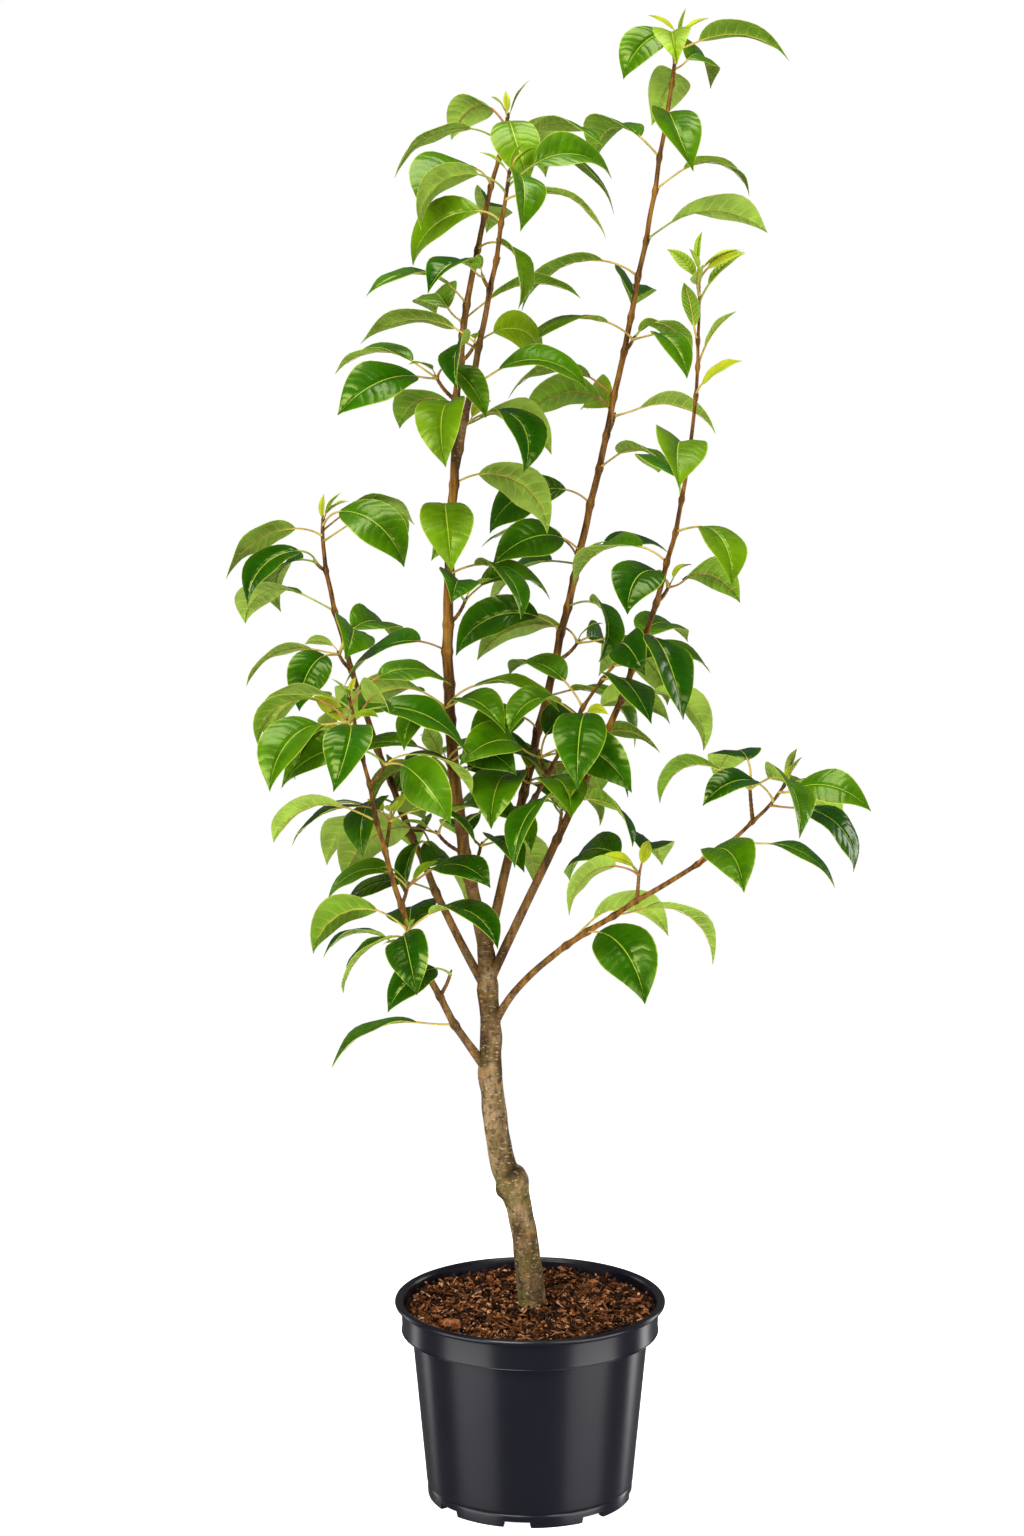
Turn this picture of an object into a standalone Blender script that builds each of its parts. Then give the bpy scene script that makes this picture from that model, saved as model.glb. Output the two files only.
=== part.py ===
"""A comice pear tree in a ten-litre nursery pot, at its real size.

Metres, +Z up. The pot stands on z = 0 with its axis on the Z axis, and -Y is the front of the tree.
The trunk carries six boughs. Each bough runs on as a stem inside masses of foliage, where leaves and
leafy spurs grow from it by a seeded rule.
"""

import random
from collections import namedtuple
from functools import cache
from math import ceil, cos, exp, pi, radians, sin

import bmesh
import bpy
from mathutils import Matrix, Vector
from mathutils.bvhtree import BVHTree

GAP = 0.0003
TURN = 2 * pi
UP = Vector((0, 0, 1))

# Pot: a ten-litre moulded nursery pot, 28 cm across its lip and 21 cm tall
POT_HEIGHT = 0.211
LIP_RADIUS = 0.140
LIP_HEIGHT = 0.0055
LIP_INNER_RADIUS = 0.1337
COLLAR_TOP_RADIUS = 0.1337
COLLAR_FOOT_RADIUS = 0.1325
COLLAR_HEIGHT = 0.028
BODY_TOP_RADIUS = 0.1225
BODY_FOOT_RADIUS = 0.1072
BASE_RING_HEIGHT = 0.014
BASE_RING_RADIUS = 0.1062
BASE_RING_INNER_RADIUS = 0.0985
GROOVE_DEPTH = 0.0008
GROOVE_HEIGHT = 0.0012
EDGE_ROUND = 0.0008
LIP_ROUND = 0.0022
WALL = 0.0025
FLOOR_UNDERSIDE = 0.009
FLOOR_TOP = 0.012
FLOOR_SLOPE = 0.0015
CENTRE_PAD_RADIUS = 0.016
POT_SIDES = 48
NOTCH_COUNT = 8
NOTCH_WIDTH = 0.029
NOTCH_HEIGHT = 0.0065
NOTCH_SLOPE = 0.0015
NOTCH_OVERCUT = 0.008
FIRST_NOTCH_TURN = radians(-7.3)

# Compost: fills the pot to 12 mm under the lip, with a little play at the wall
SOIL_HEIGHT = 0.199
COMPOST_PLAY = 0.0003

# Trunk: its line from the soil to the fork, with the kink of the graft a hand above the soil
TRUNK_LINE = (
    (0.0020, 0.0150, SOIL_HEIGHT + GAP),
    (-0.0040, 0.0142, 0.262),
    (-0.0110, 0.0137, 0.303),
    (-0.0195, 0.0133, 0.333),
    (-0.0280, 0.0131, 0.352),
    (-0.0360, 0.0125, 0.397),
    (-0.0403, 0.0118, 0.455),
    (-0.0408, 0.0113, 0.500),
    (-0.0440, 0.0108, 0.543),
    (-0.0462, 0.0103, 0.585),
)
TRUNK_FOOT_RADIUS = 0.0141
TRUNK_MID_RADIUS = 0.0124
TRUNK_MID_HEIGHT = 0.385
TRUNK_TOP_RADIUS = 0.0080
ROOT_FLARE = 0.0012
ROOT_FLARE_REACH = 0.010
GRAFT_HEIGHT = 0.328
GRAFT_SWELL = 0.0030
GRAFT_REACH = 0.013
TRUNK_SIDES = 12
TRUNK_RINGS_PER_SPAN = 3
TOP_TAPER_POWER = 1.5

# Limbs: each a cubic curve from its foot through two bends to its tip, with its bare radius at both
# ends, how far its foot swells, and the limbs that its foot is cut clear of
Limb = namedtuple("Limb", "name foot bend_out bend_up tip foot_radius tip_radius swell clear_of")
LIMBS = {
    limb.name: limb
    for limb in (
        Limb("low_left", (-0.0410, 0.012, 0.449), (-0.137, -0.013, 0.574), (-0.151, -0.064, 0.729),
             (-0.178, -0.100, 0.857), 0.0046, 0.0018, 0.0026, ("trunk",)),
        Limb("mid_left", (-0.0437, 0.012, 0.536), (-0.114, 0.040, 0.644), (-0.220, 0.099, 0.924),
             (-0.214, 0.140, 1.0015), 0.0050, 0.0022, 0.0020, ("trunk",)),
        Limb("leader", (-0.0462, 0.0103, 0.5853), (-0.091, 0.008, 0.758), (-0.087, 0.003, 0.926),
             (-0.0754, 0.000, 1.080), 0.0066, 0.0045, 0.0014, ()),
        Limb("leader_left", (-0.0754, 0.000, 1.0807), (-0.075, 0.011, 1.231), (-0.044, 0.034, 1.322),
             (-0.0236, 0.050, 1.4145), 0.0040, 0.0018, 0.0006, ()),
        Limb("leader_right", (-0.0750, 0.000, 1.0740), (-0.053, -0.012, 1.186), (-0.033, -0.034, 1.279),
             (-0.0216, -0.050, 1.365), 0.0038, 0.0018, 0.0006, ("leader", "leader_left")),
        Limb("tall", (-0.0457, 0.0105, 0.572), (0.032, 0.055, 0.906), (0.109, 0.115, 1.194),
             (0.150, 0.160, 1.493), 0.0058, 0.0022, 0.0010, ("trunk", "leader")),
        Limb("right", (-0.0437, 0.011, 0.5415), (0.080, -0.027, 0.8225), (0.169, -0.105, 0.975),
             (0.1585, -0.160, 1.277), 0.0055, 0.0014, 0.0014, ("trunk", "leader")),
        Limb("low_right", (-0.0400, 0.012, 0.4885), (-0.012, -0.013, 0.602), (0.191, -0.064, 0.665),
             (0.248, -0.100, 0.769), 0.0046, 0.0018, 0.0018, ("trunk",)),
        Limb("front", (-0.0100, 0.0315, 0.724), (0.004, 0.012, 0.707), (0.049, -0.019, 0.859),
             (0.0957, -0.040, 0.892), 0.0026, 0.0015, 0.0006, ("tall",)),
    )
}
SWELL_REACH = 0.028
LIMB_SIDES = 8
RING_SPACING = 0.040
RING_MARGIN = 0.004
DIRECTION_STEP = 0.002
LENGTH_STEPS = 24
BUD_LENGTH = 0.006
TEST_MARGIN = 2 * GAP

# Boughs: the bare lower stretch of a limb, up to the share of its length where foliage begins
BOUGHS = {"low_left": 0.10, "mid_left": 0.20, "leader": 0.10, "tall": 0.12, "right": 0.18, "low_right": 0.30}

# Leaves: ovate, arched over, folded along the midrib
Habit = namedtuple("Habit", "length width petiole lean rise arch fold vigour_spread")
GROWN = Habit(0.100, 0.56, 0.034, radians(52), radians(14), radians(98), radians(27), 0.13)
YOUNG = Habit(0.056, 0.34, 0.016, radians(30), radians(52), radians(45), radians(30), 0.20)
LEAF_THICKNESS_SHARE = 0.011
PETIOLE_RADIUS = 0.0010
LEAF_STATIONS = (0.14, 0.42, 0.76)
BROAD_BASE = 0.80
LONG_TIP = 0.98
TIP_PINCH = 0.68
PINCH_POWER = 6
GOLDEN_TURN = radians(137.5)
LEAF_TRIES = 8
LEAF_SPREAD = 0.35

# How far single leaves stray from their habit: factors, then turns in radians
LEAN_SPREAD = (0.75, 1.25)
PETIOLE_SPREAD = (0.75, 1.25)
ARCH_SPREAD = (0.72, 1.18)
FOLD_SPREAD = (0.55, 1.35)
WIDTH_SPREAD = (0.93, 1.10)
YAWS = (-0.45, 0.45)
EXTRA_RISES = (-0.30, 0.40)
SWEEPS = (-0.45, 0.45)
ROLLS = (-0.60, 0.60)
LEAST_HEADING = 0.2

# Spurs: short side twigs with a few leaves at their tip
SPUR_LENGTHS = (0.012, 0.036)
SPUR_LEAN = radians(52)
SPUR_LIFT = 0.5
SPUR_RADIUS = 0.0019
SPUR_TIP_RADIUS = 0.0016
SPUR_LEAVES = (2, 3, 3, 4)
SPUR_LEAF_SIZES = (0.80, 1.04)
ROSETTE_LEAF_SIZES = (0.78, 0.98)
TWIG_SIDES = 4
FIRST_NODE = 0.018
ROSETTE_STEP = 0.0065
SPACING_SPREAD = (0.8, 1.2)

# Foliage: the stretch of a limb that each mass holds, the spacing of its nodes, the share of nodes
# that are spurs, the leaves of the rosette at its tip, and the habit of its leaves. One seed starts
# every mass's own draws.
SEED = 1108
Mass = namedtuple("Mass", "name limb start end spacing spurs rosette habit")
MASSES = (
    Mass("foliage_low_left_1", "low_left", 0.10, 0.56, 0.034, 0.45, 0, GROWN),
    Mass("foliage_low_left_2", "low_left", 0.56, 1.00, 0.036, 0.35, 4, GROWN),
    Mass("foliage_mid_left_1", "mid_left", 0.20, 0.54, 0.034, 0.45, 0, GROWN),
    Mass("foliage_mid_left_2", "mid_left", 0.54, 0.80, 0.034, 0.45, 0, GROWN),
    Mass("foliage_mid_left_3", "mid_left", 0.80, 1.00, 0.032, 0.15, 4, GROWN),
    Mass("foliage_low_right_1", "low_right", 0.30, 0.66, 0.034, 0.35, 0, GROWN),
    Mass("foliage_low_right_2", "low_right", 0.66, 1.00, 0.034, 0.25, 4, GROWN),
    Mass("foliage_leader_1", "leader", 0.10, 0.42, 0.030, 0.55, 0, GROWN),
    Mass("foliage_leader_2", "leader", 0.42, 0.72, 0.030, 0.55, 0, GROWN),
    Mass("foliage_leader_3", "leader", 0.72, 1.00, 0.030, 0.50, 0, GROWN),
    Mass("foliage_leader_left_1", "leader_left", 0.00, 0.50, 0.034, 0.40, 0, GROWN),
    Mass("foliage_leader_left_2", "leader_left", 0.50, 1.00, 0.032, 0.20, 5, GROWN),
    Mass("foliage_leader_right_1", "leader_right", 0.00, 0.52, 0.036, 0.35, 0, GROWN),
    Mass("foliage_leader_right_2", "leader_right", 0.52, 1.00, 0.034, 0.15, 4, GROWN),
    Mass("foliage_tall_1", "tall", 0.12, 0.29, 0.032, 0.50, 0, GROWN),
    Mass("foliage_tall_2", "tall", 0.29, 0.46, 0.032, 0.50, 0, GROWN),
    Mass("foliage_tall_3", "tall", 0.46, 0.63, 0.034, 0.40, 0, GROWN),
    Mass("foliage_tall_4", "tall", 0.63, 0.81, 0.038, 0.30, 0, GROWN),
    Mass("foliage_tall_5", "tall", 0.81, 1.00, 0.036, 0.15, 5, GROWN),
    Mass("foliage_front", "front", 0.00, 1.00, 0.034, 0.25, 4, GROWN),
    Mass("foliage_right_1", "right", 0.18, 0.40, 0.032, 0.50, 0, GROWN),
    Mass("foliage_right_2", "right", 0.40, 0.61, 0.032, 0.50, 0, GROWN),
    Mass("foliage_right_3", "right", 0.61, 0.84, 0.036, 0.15, 0, GROWN),
    Mass("foliage_right_4", "right", 0.84, 1.00, 0.030, 0.00, 4, YOUNG),
)

# Colours: base colour, roughness and metallic value of each finish
POT_FINISH = ("moulded_black", (0.020, 0.021, 0.025, 1), 0.42, 0)
COMPOST_FINISH = ("bark_compost", (0.115, 0.040, 0.016, 1), 0.95, 0)
TRUNK_FINISH = ("trunk_bark", (0.205, 0.165, 0.085, 1), 0.85, 0)
BOUGH_FINISH = ("bough_bark", (0.160, 0.072, 0.032, 1), 0.70, 0)
LEAF_FINISH = ("leaf_green", (0.060, 0.200, 0.012, 1), 0.42, 0)


def clear_scene():
    for old in list(bpy.data.objects):
        bpy.data.objects.remove(old, do_unlink=True)


def finish(name, colour, roughness, metallic):
    material = bpy.data.materials.get(name) or bpy.data.materials.new(name)
    material.use_nodes = True
    shader = material.node_tree.nodes["Principled BSDF"]
    shader.inputs["Base Color"].default_value = colour
    shader.inputs["Roughness"].default_value = roughness
    shader.inputs["Metallic"].default_value = metallic
    return material


def solid(name, points, faces, collection=None):
    """A mesh object made of these points and faces."""
    mesh = bpy.data.meshes.new(name)
    mesh.from_pydata(points, [], faces)
    mesh.update()
    made = bpy.data.objects.new(name, mesh)
    (collection or bpy.context.scene.collection).objects.link(made)
    return made


def dress(made, look, sharp=radians(40)):
    made.data.materials.clear()
    made.data.materials.append(finish(*look))
    made.data.shade_smooth()
    made.data.set_sharp_from_angle(angle=sharp)


def turned(name, profile, sides):
    """A closed solid of revolution about the Z axis from (radius, height) points."""
    shape = bmesh.new()
    corners = [shape.verts.new((radius, 0, height)) for radius, height in profile]
    edges = [shape.edges.new(pair) for pair in zip(corners, corners[1:])]
    bmesh.ops.spin(
        shape, geom=corners + edges, cent=(0, 0, 0), axis=(0, 0, 1), angle=TURN, steps=sides, use_merge=True
    )
    bmesh.ops.remove_doubles(shape, verts=shape.verts, dist=0.00002)
    bmesh.ops.recalc_face_normals(shape, faces=shape.faces)
    mesh = bpy.data.meshes.new(name)
    shape.to_mesh(mesh)
    shape.free()
    made = bpy.data.objects.new(name, mesh)
    bpy.context.scene.collection.objects.link(made)
    return made


def boolean(made, operation, other=None, collection=None):
    """Applies one exact Boolean with an object or a collection, and removes what it used."""
    change = made.modifiers.new(operation.lower(), "BOOLEAN")
    change.operation = operation
    change.solver = "EXACT"
    if collection:
        change.operand_type = "COLLECTION"
        change.collection = collection
        used = list(collection.objects)
    else:
        change.object = other
        used = [other]
    bpy.context.view_layer.update()
    result = bpy.data.meshes.new_from_object(made.evaluated_get(bpy.context.evaluated_depsgraph_get()))
    made.modifiers.clear()
    made.data = result
    for helper in used:
        bpy.data.objects.remove(helper, do_unlink=True)
    if collection:
        bpy.data.collections.remove(collection)


def keep_largest_body(made):
    """Fills hollows that a union sealed and drops loose scraps: only the widest shell stays."""
    shape = bmesh.new()
    shape.from_mesh(made.data)
    left = set(shape.verts)
    shells = []
    while left:
        shell = {left.pop()}
        edge = list(shell)
        while edge:
            near = {e.other_vert(v) for v in edge for e in v.link_edges} - shell
            shell |= near
            edge = list(near)
        left -= shell
        shells.append(shell)
    widest = max(shells, key=shell_span)
    scraps = [corner for shell in shells if shell is not widest for corner in shell]
    bmesh.ops.delete(shape, geom=scraps, context="VERTS")
    shape.to_mesh(made.data)
    shape.free()


def shell_span(shell):
    lows = [min(corner.co[axis] for corner in shell) for axis in range(3)]
    highs = [max(corner.co[axis] for corner in shell) for axis in range(3)]
    return sum(high - low for low, high in zip(lows, highs))


def loft(rings):
    """Points and faces of a closed skin over rings with equal counts; the last ring may be one point."""
    count = len(rings[0])
    points = [point for ring in rings for point in ring]
    faces = [tuple(reversed(range(count)))]
    for step, ring in enumerate(rings[1:]):
        low = step * count
        high = low + count
        for side in range(count):
            along = (side + 1) % count
            if len(ring) == 1:
                faces.append((low + side, low + along, high))
            else:
                faces.append((low + side, low + along, high + along, high + side))
    if len(rings[-1]) > 1:
        faces.append(tuple(range(len(points) - count, len(points))))
    return points, faces


def ways_along(points):
    """The way that a line of points runs at each of them."""
    last = len(points) - 1
    pairs = [(points[max(index - 1, 0)], points[min(index + 1, last)]) for index in range(last + 1)]
    return [(after - before).normalized() for before, after in pairs]


def tube_rings(points, ways, radii, sides):
    """Rings round a line of points, turned as little as possible from one to the next."""
    rings = []
    across = None
    for point, along, radius in zip(points, ways, radii):
        across = along.orthogonal() if across is None else across - along * across.dot(along)
        across.normalize()
        up = along.cross(across)
        turns = [TURN * side / sides for side in range(sides)]
        rings.append([point + (across * cos(turn) + up * sin(turn)) * radius for turn in turns])
    return rings


def level(ring, height):
    """The ring with all its corners at one height, as a level cut."""
    return [Vector((corner.x, corner.y, height)) for corner in ring]


def limb_point(limb, share):
    foot, out, rise, tip = (Vector(p) for p in (limb.foot, limb.bend_out, limb.bend_up, limb.tip))
    rest = 1 - share
    return (
        foot * rest**3 + out * (3 * share * rest**2) + rise * (3 * share**2 * rest) + tip * share**3
    )


def limb_direction(limb, share):
    low = max(share - DIRECTION_STEP, 0)
    high = min(share + DIRECTION_STEP, 1)
    return (limb_point(limb, high) - limb_point(limb, low)).normalized()


def limb_length(limb, start=0, end=1):
    span = (end - start) / LENGTH_STEPS
    line = [limb_point(limb, start + span * step) for step in range(LENGTH_STEPS + 1)]
    return sum((b - a).length for a, b in zip(line, line[1:]))


def limb_radius(limb, share):
    grown = limb.tip_radius + (limb.foot_radius - limb.tip_radius) * (1 - share)
    return grown + limb.swell * exp(-share * limb_length(limb) / SWELL_REACH)


def limb_rings(limb, start, end, extra=0.0):
    """Rings along a stretch of a limb; extra makes it thicker, for a cutter."""
    length = limb_length(limb)
    count = ceil(length / RING_SPACING)
    every = [SWELL_REACH / length] + [step / count for step in range(1, count)]
    margin = RING_MARGIN / length
    shares = [start] + [share for share in every if start + margin < share < end - margin] + [end]
    points = [limb_point(limb, share) for share in shares]
    ways = [limb_direction(limb, share) for share in shares]
    radii = [limb_radius(limb, share) + extra for share in shares]
    rings = tube_rings(points, ways, radii, LIMB_SIDES)
    if start == 0 and not limb.clear_of:
        rings[0] = level(rings[0], limb.foot[2])
    return rings


def trunk_point(height_share):
    """A smooth line through the trunk's points, by share of their number."""
    last = len(TRUNK_LINE) - 1
    place = height_share * last
    span = min(int(place), last - 1)
    inside = place - span
    corners = [Vector(TRUNK_LINE[min(max(span + step, 0), last)]) for step in (-1, 0, 1, 2)]
    before, start, end, after = corners
    return 0.5 * (
        2 * start
        + (end - before) * inside
        + (2 * before - 5 * start + 4 * end - after) * inside**2
        + (3 * start - before - 3 * end + after) * inside**3
    )


def trunk_radius(height):
    low = TRUNK_LINE[0][2]
    high = TRUNK_LINE[-1][2]
    if height < TRUNK_MID_HEIGHT:
        share = (height - low) / (TRUNK_MID_HEIGHT - low)
        bare = TRUNK_FOOT_RADIUS + (TRUNK_MID_RADIUS - TRUNK_FOOT_RADIUS) * share
    else:
        share = (height - TRUNK_MID_HEIGHT) / (high - TRUNK_MID_HEIGHT)
        bare = TRUNK_MID_RADIUS + (TRUNK_TOP_RADIUS - TRUNK_MID_RADIUS) * share**TOP_TAPER_POWER
    flare = ROOT_FLARE * exp(-(height - low) / ROOT_FLARE_REACH)
    graft = GRAFT_SWELL * exp(-(((height - GRAFT_HEIGHT) / GRAFT_REACH) ** 2))
    return bare + flare + graft


def trunk_rings(extra=0.0):
    count = (len(TRUNK_LINE) - 1) * TRUNK_RINGS_PER_SPAN
    points = [trunk_point(step / count) for step in range(count + 1)]
    radii = [trunk_radius(point.z) + extra for point in points]
    rings = tube_rings(points, ways_along(points), radii, TRUNK_SIDES)
    rings[0] = level(rings[0], points[0].z)
    rings[-1] = level(rings[-1], points[-1].z)
    return rings


def rings_of(limb_name, extra=0.0):
    """The whole of a limb or of the trunk, to test or to cut against."""
    if limb_name == "trunk":
        return trunk_rings(extra)
    return limb_rings(LIMBS[limb_name], 0, 1, extra)


def cut_foot(made, limb):
    """Cuts a limb's foot clear of what it grows from."""
    for neighbour in limb.clear_of:
        cutter = solid("cutter", *loft(rings_of(neighbour, GAP)))
        boolean(made, "DIFFERENCE", other=cutter)
    keep_largest_body(made)


# A leaf: root on its twig's axis, way out of the petiole, blade base and way along it, the way its
# midrib curls, and its angles
Leaf = namedtuple("Leaf", "root elbow base along bend arch roll fold length width")


def half_width(leaf, t):
    """Half the blade's width at share t of its length: broad round base, long pinched tip."""
    widest = BROAD_BASE / (BROAD_BASE + LONG_TIP)
    most = widest**BROAD_BASE * (1 - widest) ** LONG_TIP
    return 0.5 * leaf.width * t**BROAD_BASE * (1 - t) ** LONG_TIP / most * (1 - TIP_PINCH * t**PINCH_POWER)


def blade_frame(leaf, t):
    """The midrib's point at share t, and the ways along, across and up from the blade there."""
    turn = leaf.arch * t
    radius = leaf.length / leaf.arch
    point = leaf.base + leaf.along * (radius * sin(turn)) + leaf.bend * (radius * (1 - cos(turn)))
    along = leaf.along * cos(turn) + leaf.bend * sin(turn)
    side = leaf.along.cross(leaf.bend)
    up = along.cross(side)
    across = side * cos(leaf.roll) + up * sin(leaf.roll)
    return point, along, across, up * cos(leaf.roll) - side * sin(leaf.roll)


def petiole_point(leaf, share):
    rest = 1 - share
    return leaf.root * rest**2 + leaf.elbow * (2 * share * rest) + leaf.base * share**2


def leaf_rings(leaf):
    """Four-cornered rings from the root along the petiole and the blade, and the blade's tip."""
    _, _, across, up = blade_frame(leaf, 0)
    rings = []
    for share in (0, 0.5, 1):
        point = petiole_point(leaf, share)
        sides = (across, up, -across, -up)
        rings.append([point + side * PETIOLE_RADIUS for side in sides])
    for station in LEAF_STATIONS:
        point, _, across, up = blade_frame(leaf, station)
        reach = across * (half_width(leaf, station) * cos(leaf.fold))
        lift = up * (half_width(leaf, station) * sin(leaf.fold))
        depth = up * (0.5 * LEAF_THICKNESS_SHARE * leaf.length)
        rings.append([point + reach + lift, point + depth, point - reach + lift, point - depth])
    rings.append([blade_frame(leaf, 1)[0]])
    return rings


def new_leaf(rng, root, stem_way, out, habit, size):
    """A leaf that leaves a stem at root, leaning out from the stem's way, and arches over."""
    lean = habit.lean * rng.uniform(*LEAN_SPREAD)
    petiole = habit.petiole * size * rng.uniform(*PETIOLE_SPREAD)
    yaw = rng.uniform(*YAWS)
    rise = habit.rise + rng.uniform(*EXTRA_RISES)
    arch = habit.arch * rng.uniform(*ARCH_SPREAD)
    sweep = rng.uniform(*SWEEPS)
    roll = rng.uniform(*ROLLS)
    fold = habit.fold * rng.uniform(*FOLD_SPREAD)
    length = habit.length * size * rng.uniform(1 - habit.vigour_spread, 1 + habit.vigour_spread)
    width = length * habit.width * rng.uniform(*WIDTH_SPREAD)
    way = out * sin(lean) + stem_way * cos(lean)
    flat = Vector((way.x, way.y, 0))
    if flat.length < LEAST_HEADING:
        flat = Vector((out.x + stem_way.x, out.y + stem_way.y, 0))
    heading = Matrix.Rotation(yaw, 3, "Z") @ flat.normalized()
    along = heading * cos(rise) + UP * sin(rise)
    fall = -UP + heading.cross(UP) * sweep
    bend = (fall - along * fall.dot(along)).normalized()
    elbow = root + way * (0.5 * petiole)
    base = elbow + along * (0.5 * petiole)
    return Leaf(root, elbow, base, along, bend, arch, roll, fold, length, width)


Shape = namedtuple("Shape", "tree centre reach")


def shape_of(rings):
    points, faces = loft(rings)
    centre = sum(points, Vector()) / len(points)
    reach = max((point - centre).length for point in points)
    return Shape(BVHTree.FromPolygons(points, faces), centre, reach)


def clashes(shape, others):
    for other in others:
        if (shape.centre - other.centre).length < shape.reach + other.reach:
            if shape.tree.overlap(other.tree):
                return True
    return False


@cache
def limb_shape(limb_name):
    return shape_of(rings_of(limb_name, TEST_MARGIN))


class Growth:
    """What a mass has grown so far, and what its next leaf or spur has to keep clear of."""

    def __init__(self, mass, neighbours):
        self.rng = random.Random(f"{SEED} {mass.name}")
        self.habit = mass.habit
        self.stem = [limb_shape(mass.limb)]
        self.others = [limb_shape(name) for name in ("trunk", *LIMBS) if name != mass.limb]
        self.others += neighbours
        self.outer = []
        self.whole = []
        self.spurs = []
        self.leaves = []

    def has_room(self, rings, on_stem):
        """Whether a leaf or spur touches nothing but the twig that its first ring is rooted in."""
        whole = shape_of(rings)
        outer = shape_of(rings[1:])
        if clashes(whole, self.others) or clashes(outer, self.outer):
            return False
        if clashes(outer if on_stem else whole, self.stem):
            return False
        self.outer.append(outer)
        self.whole.append(whole)
        return True


def out_way(stem_way, azimuth):
    """The direction square to a stem at this turn round it."""
    first = (Vector((1, 0, 0)) - stem_way * stem_way.x).normalized()
    return first * cos(azimuth) + stem_way.cross(first) * sin(azimuth)


def add_leaf(growth, root, stem_way, azimuth, size, on_stem):
    """Tries a leaf a few times, and keeps the first that has room."""
    for _ in range(LEAF_TRIES):
        out = out_way(stem_way, azimuth + growth.rng.uniform(-LEAF_SPREAD, LEAF_SPREAD))
        leaf = new_leaf(growth.rng, root, stem_way, out, growth.habit, size)
        if growth.has_room(leaf_rings(leaf), on_stem):
            growth.leaves.append(leaf)
            return


def add_spur(growth, root, stem_way, azimuth, stem_radius):
    """A short twig with two to four leaves round its tip, where there is room for it."""
    out = out_way(stem_way, azimuth)
    length = growth.rng.uniform(*SPUR_LENGTHS) + stem_radius
    way = out * sin(SPUR_LEAN) + stem_way * cos(SPUR_LEAN)
    tip_way = (way + UP * SPUR_LIFT).normalized()
    middle = root + way * (0.5 * length)
    tip = middle + tip_way * (0.5 * length)
    line = [root, middle, tip]
    radii = [SPUR_RADIUS, SPUR_RADIUS, SPUR_TIP_RADIUS]
    rings = tube_rings(line, ways_along(line), radii, TWIG_SIDES)
    if not growth.has_room(rings, on_stem=True):
        return
    growth.spurs.append(rings)
    count = growth.rng.choice(SPUR_LEAVES)
    azimuth = growth.rng.uniform(0, TURN)
    for _ in range(count):
        size = growth.rng.uniform(*SPUR_LEAF_SIZES)
        add_leaf(growth, tip - tip_way * SPUR_TIP_RADIUS, tip_way, azimuth, size, on_stem=False)
        azimuth += TURN / count


def grow_mass(mass, neighbours):
    """The leaves and spurs of one mass, by its seed, clear of its neighbours."""
    growth = Growth(mass, neighbours)
    limb = LIMBS[mass.limb]
    reach = mass.end - mass.start
    length = limb_length(limb, mass.start, mass.end)
    azimuth = growth.rng.uniform(0, TURN)
    place = FIRST_NODE
    last = length - max(FIRST_NODE, ROSETTE_STEP * (mass.rosette + 1))
    while place < last:
        share = mass.start + reach * place / length
        root = limb_point(limb, share)
        way = limb_direction(limb, share)
        if growth.rng.random() < mass.spurs:
            add_spur(growth, root, way, azimuth, limb_radius(limb, share))
        else:
            add_leaf(growth, root, way, azimuth, 1.0, on_stem=True)
        azimuth += GOLDEN_TURN
        place += mass.spacing * growth.rng.uniform(*SPACING_SPREAD)
    for turn in range(mass.rosette):
        share = mass.end - reach * (BUD_LENGTH + ROSETTE_STEP * turn) / length
        size = growth.rng.uniform(*ROSETTE_LEAF_SIZES)
        root = limb_point(limb, share)
        add_leaf(growth, root, limb_direction(limb, share), azimuth, size, on_stem=True)
        azimuth += GOLDEN_TURN
    return growth


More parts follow.
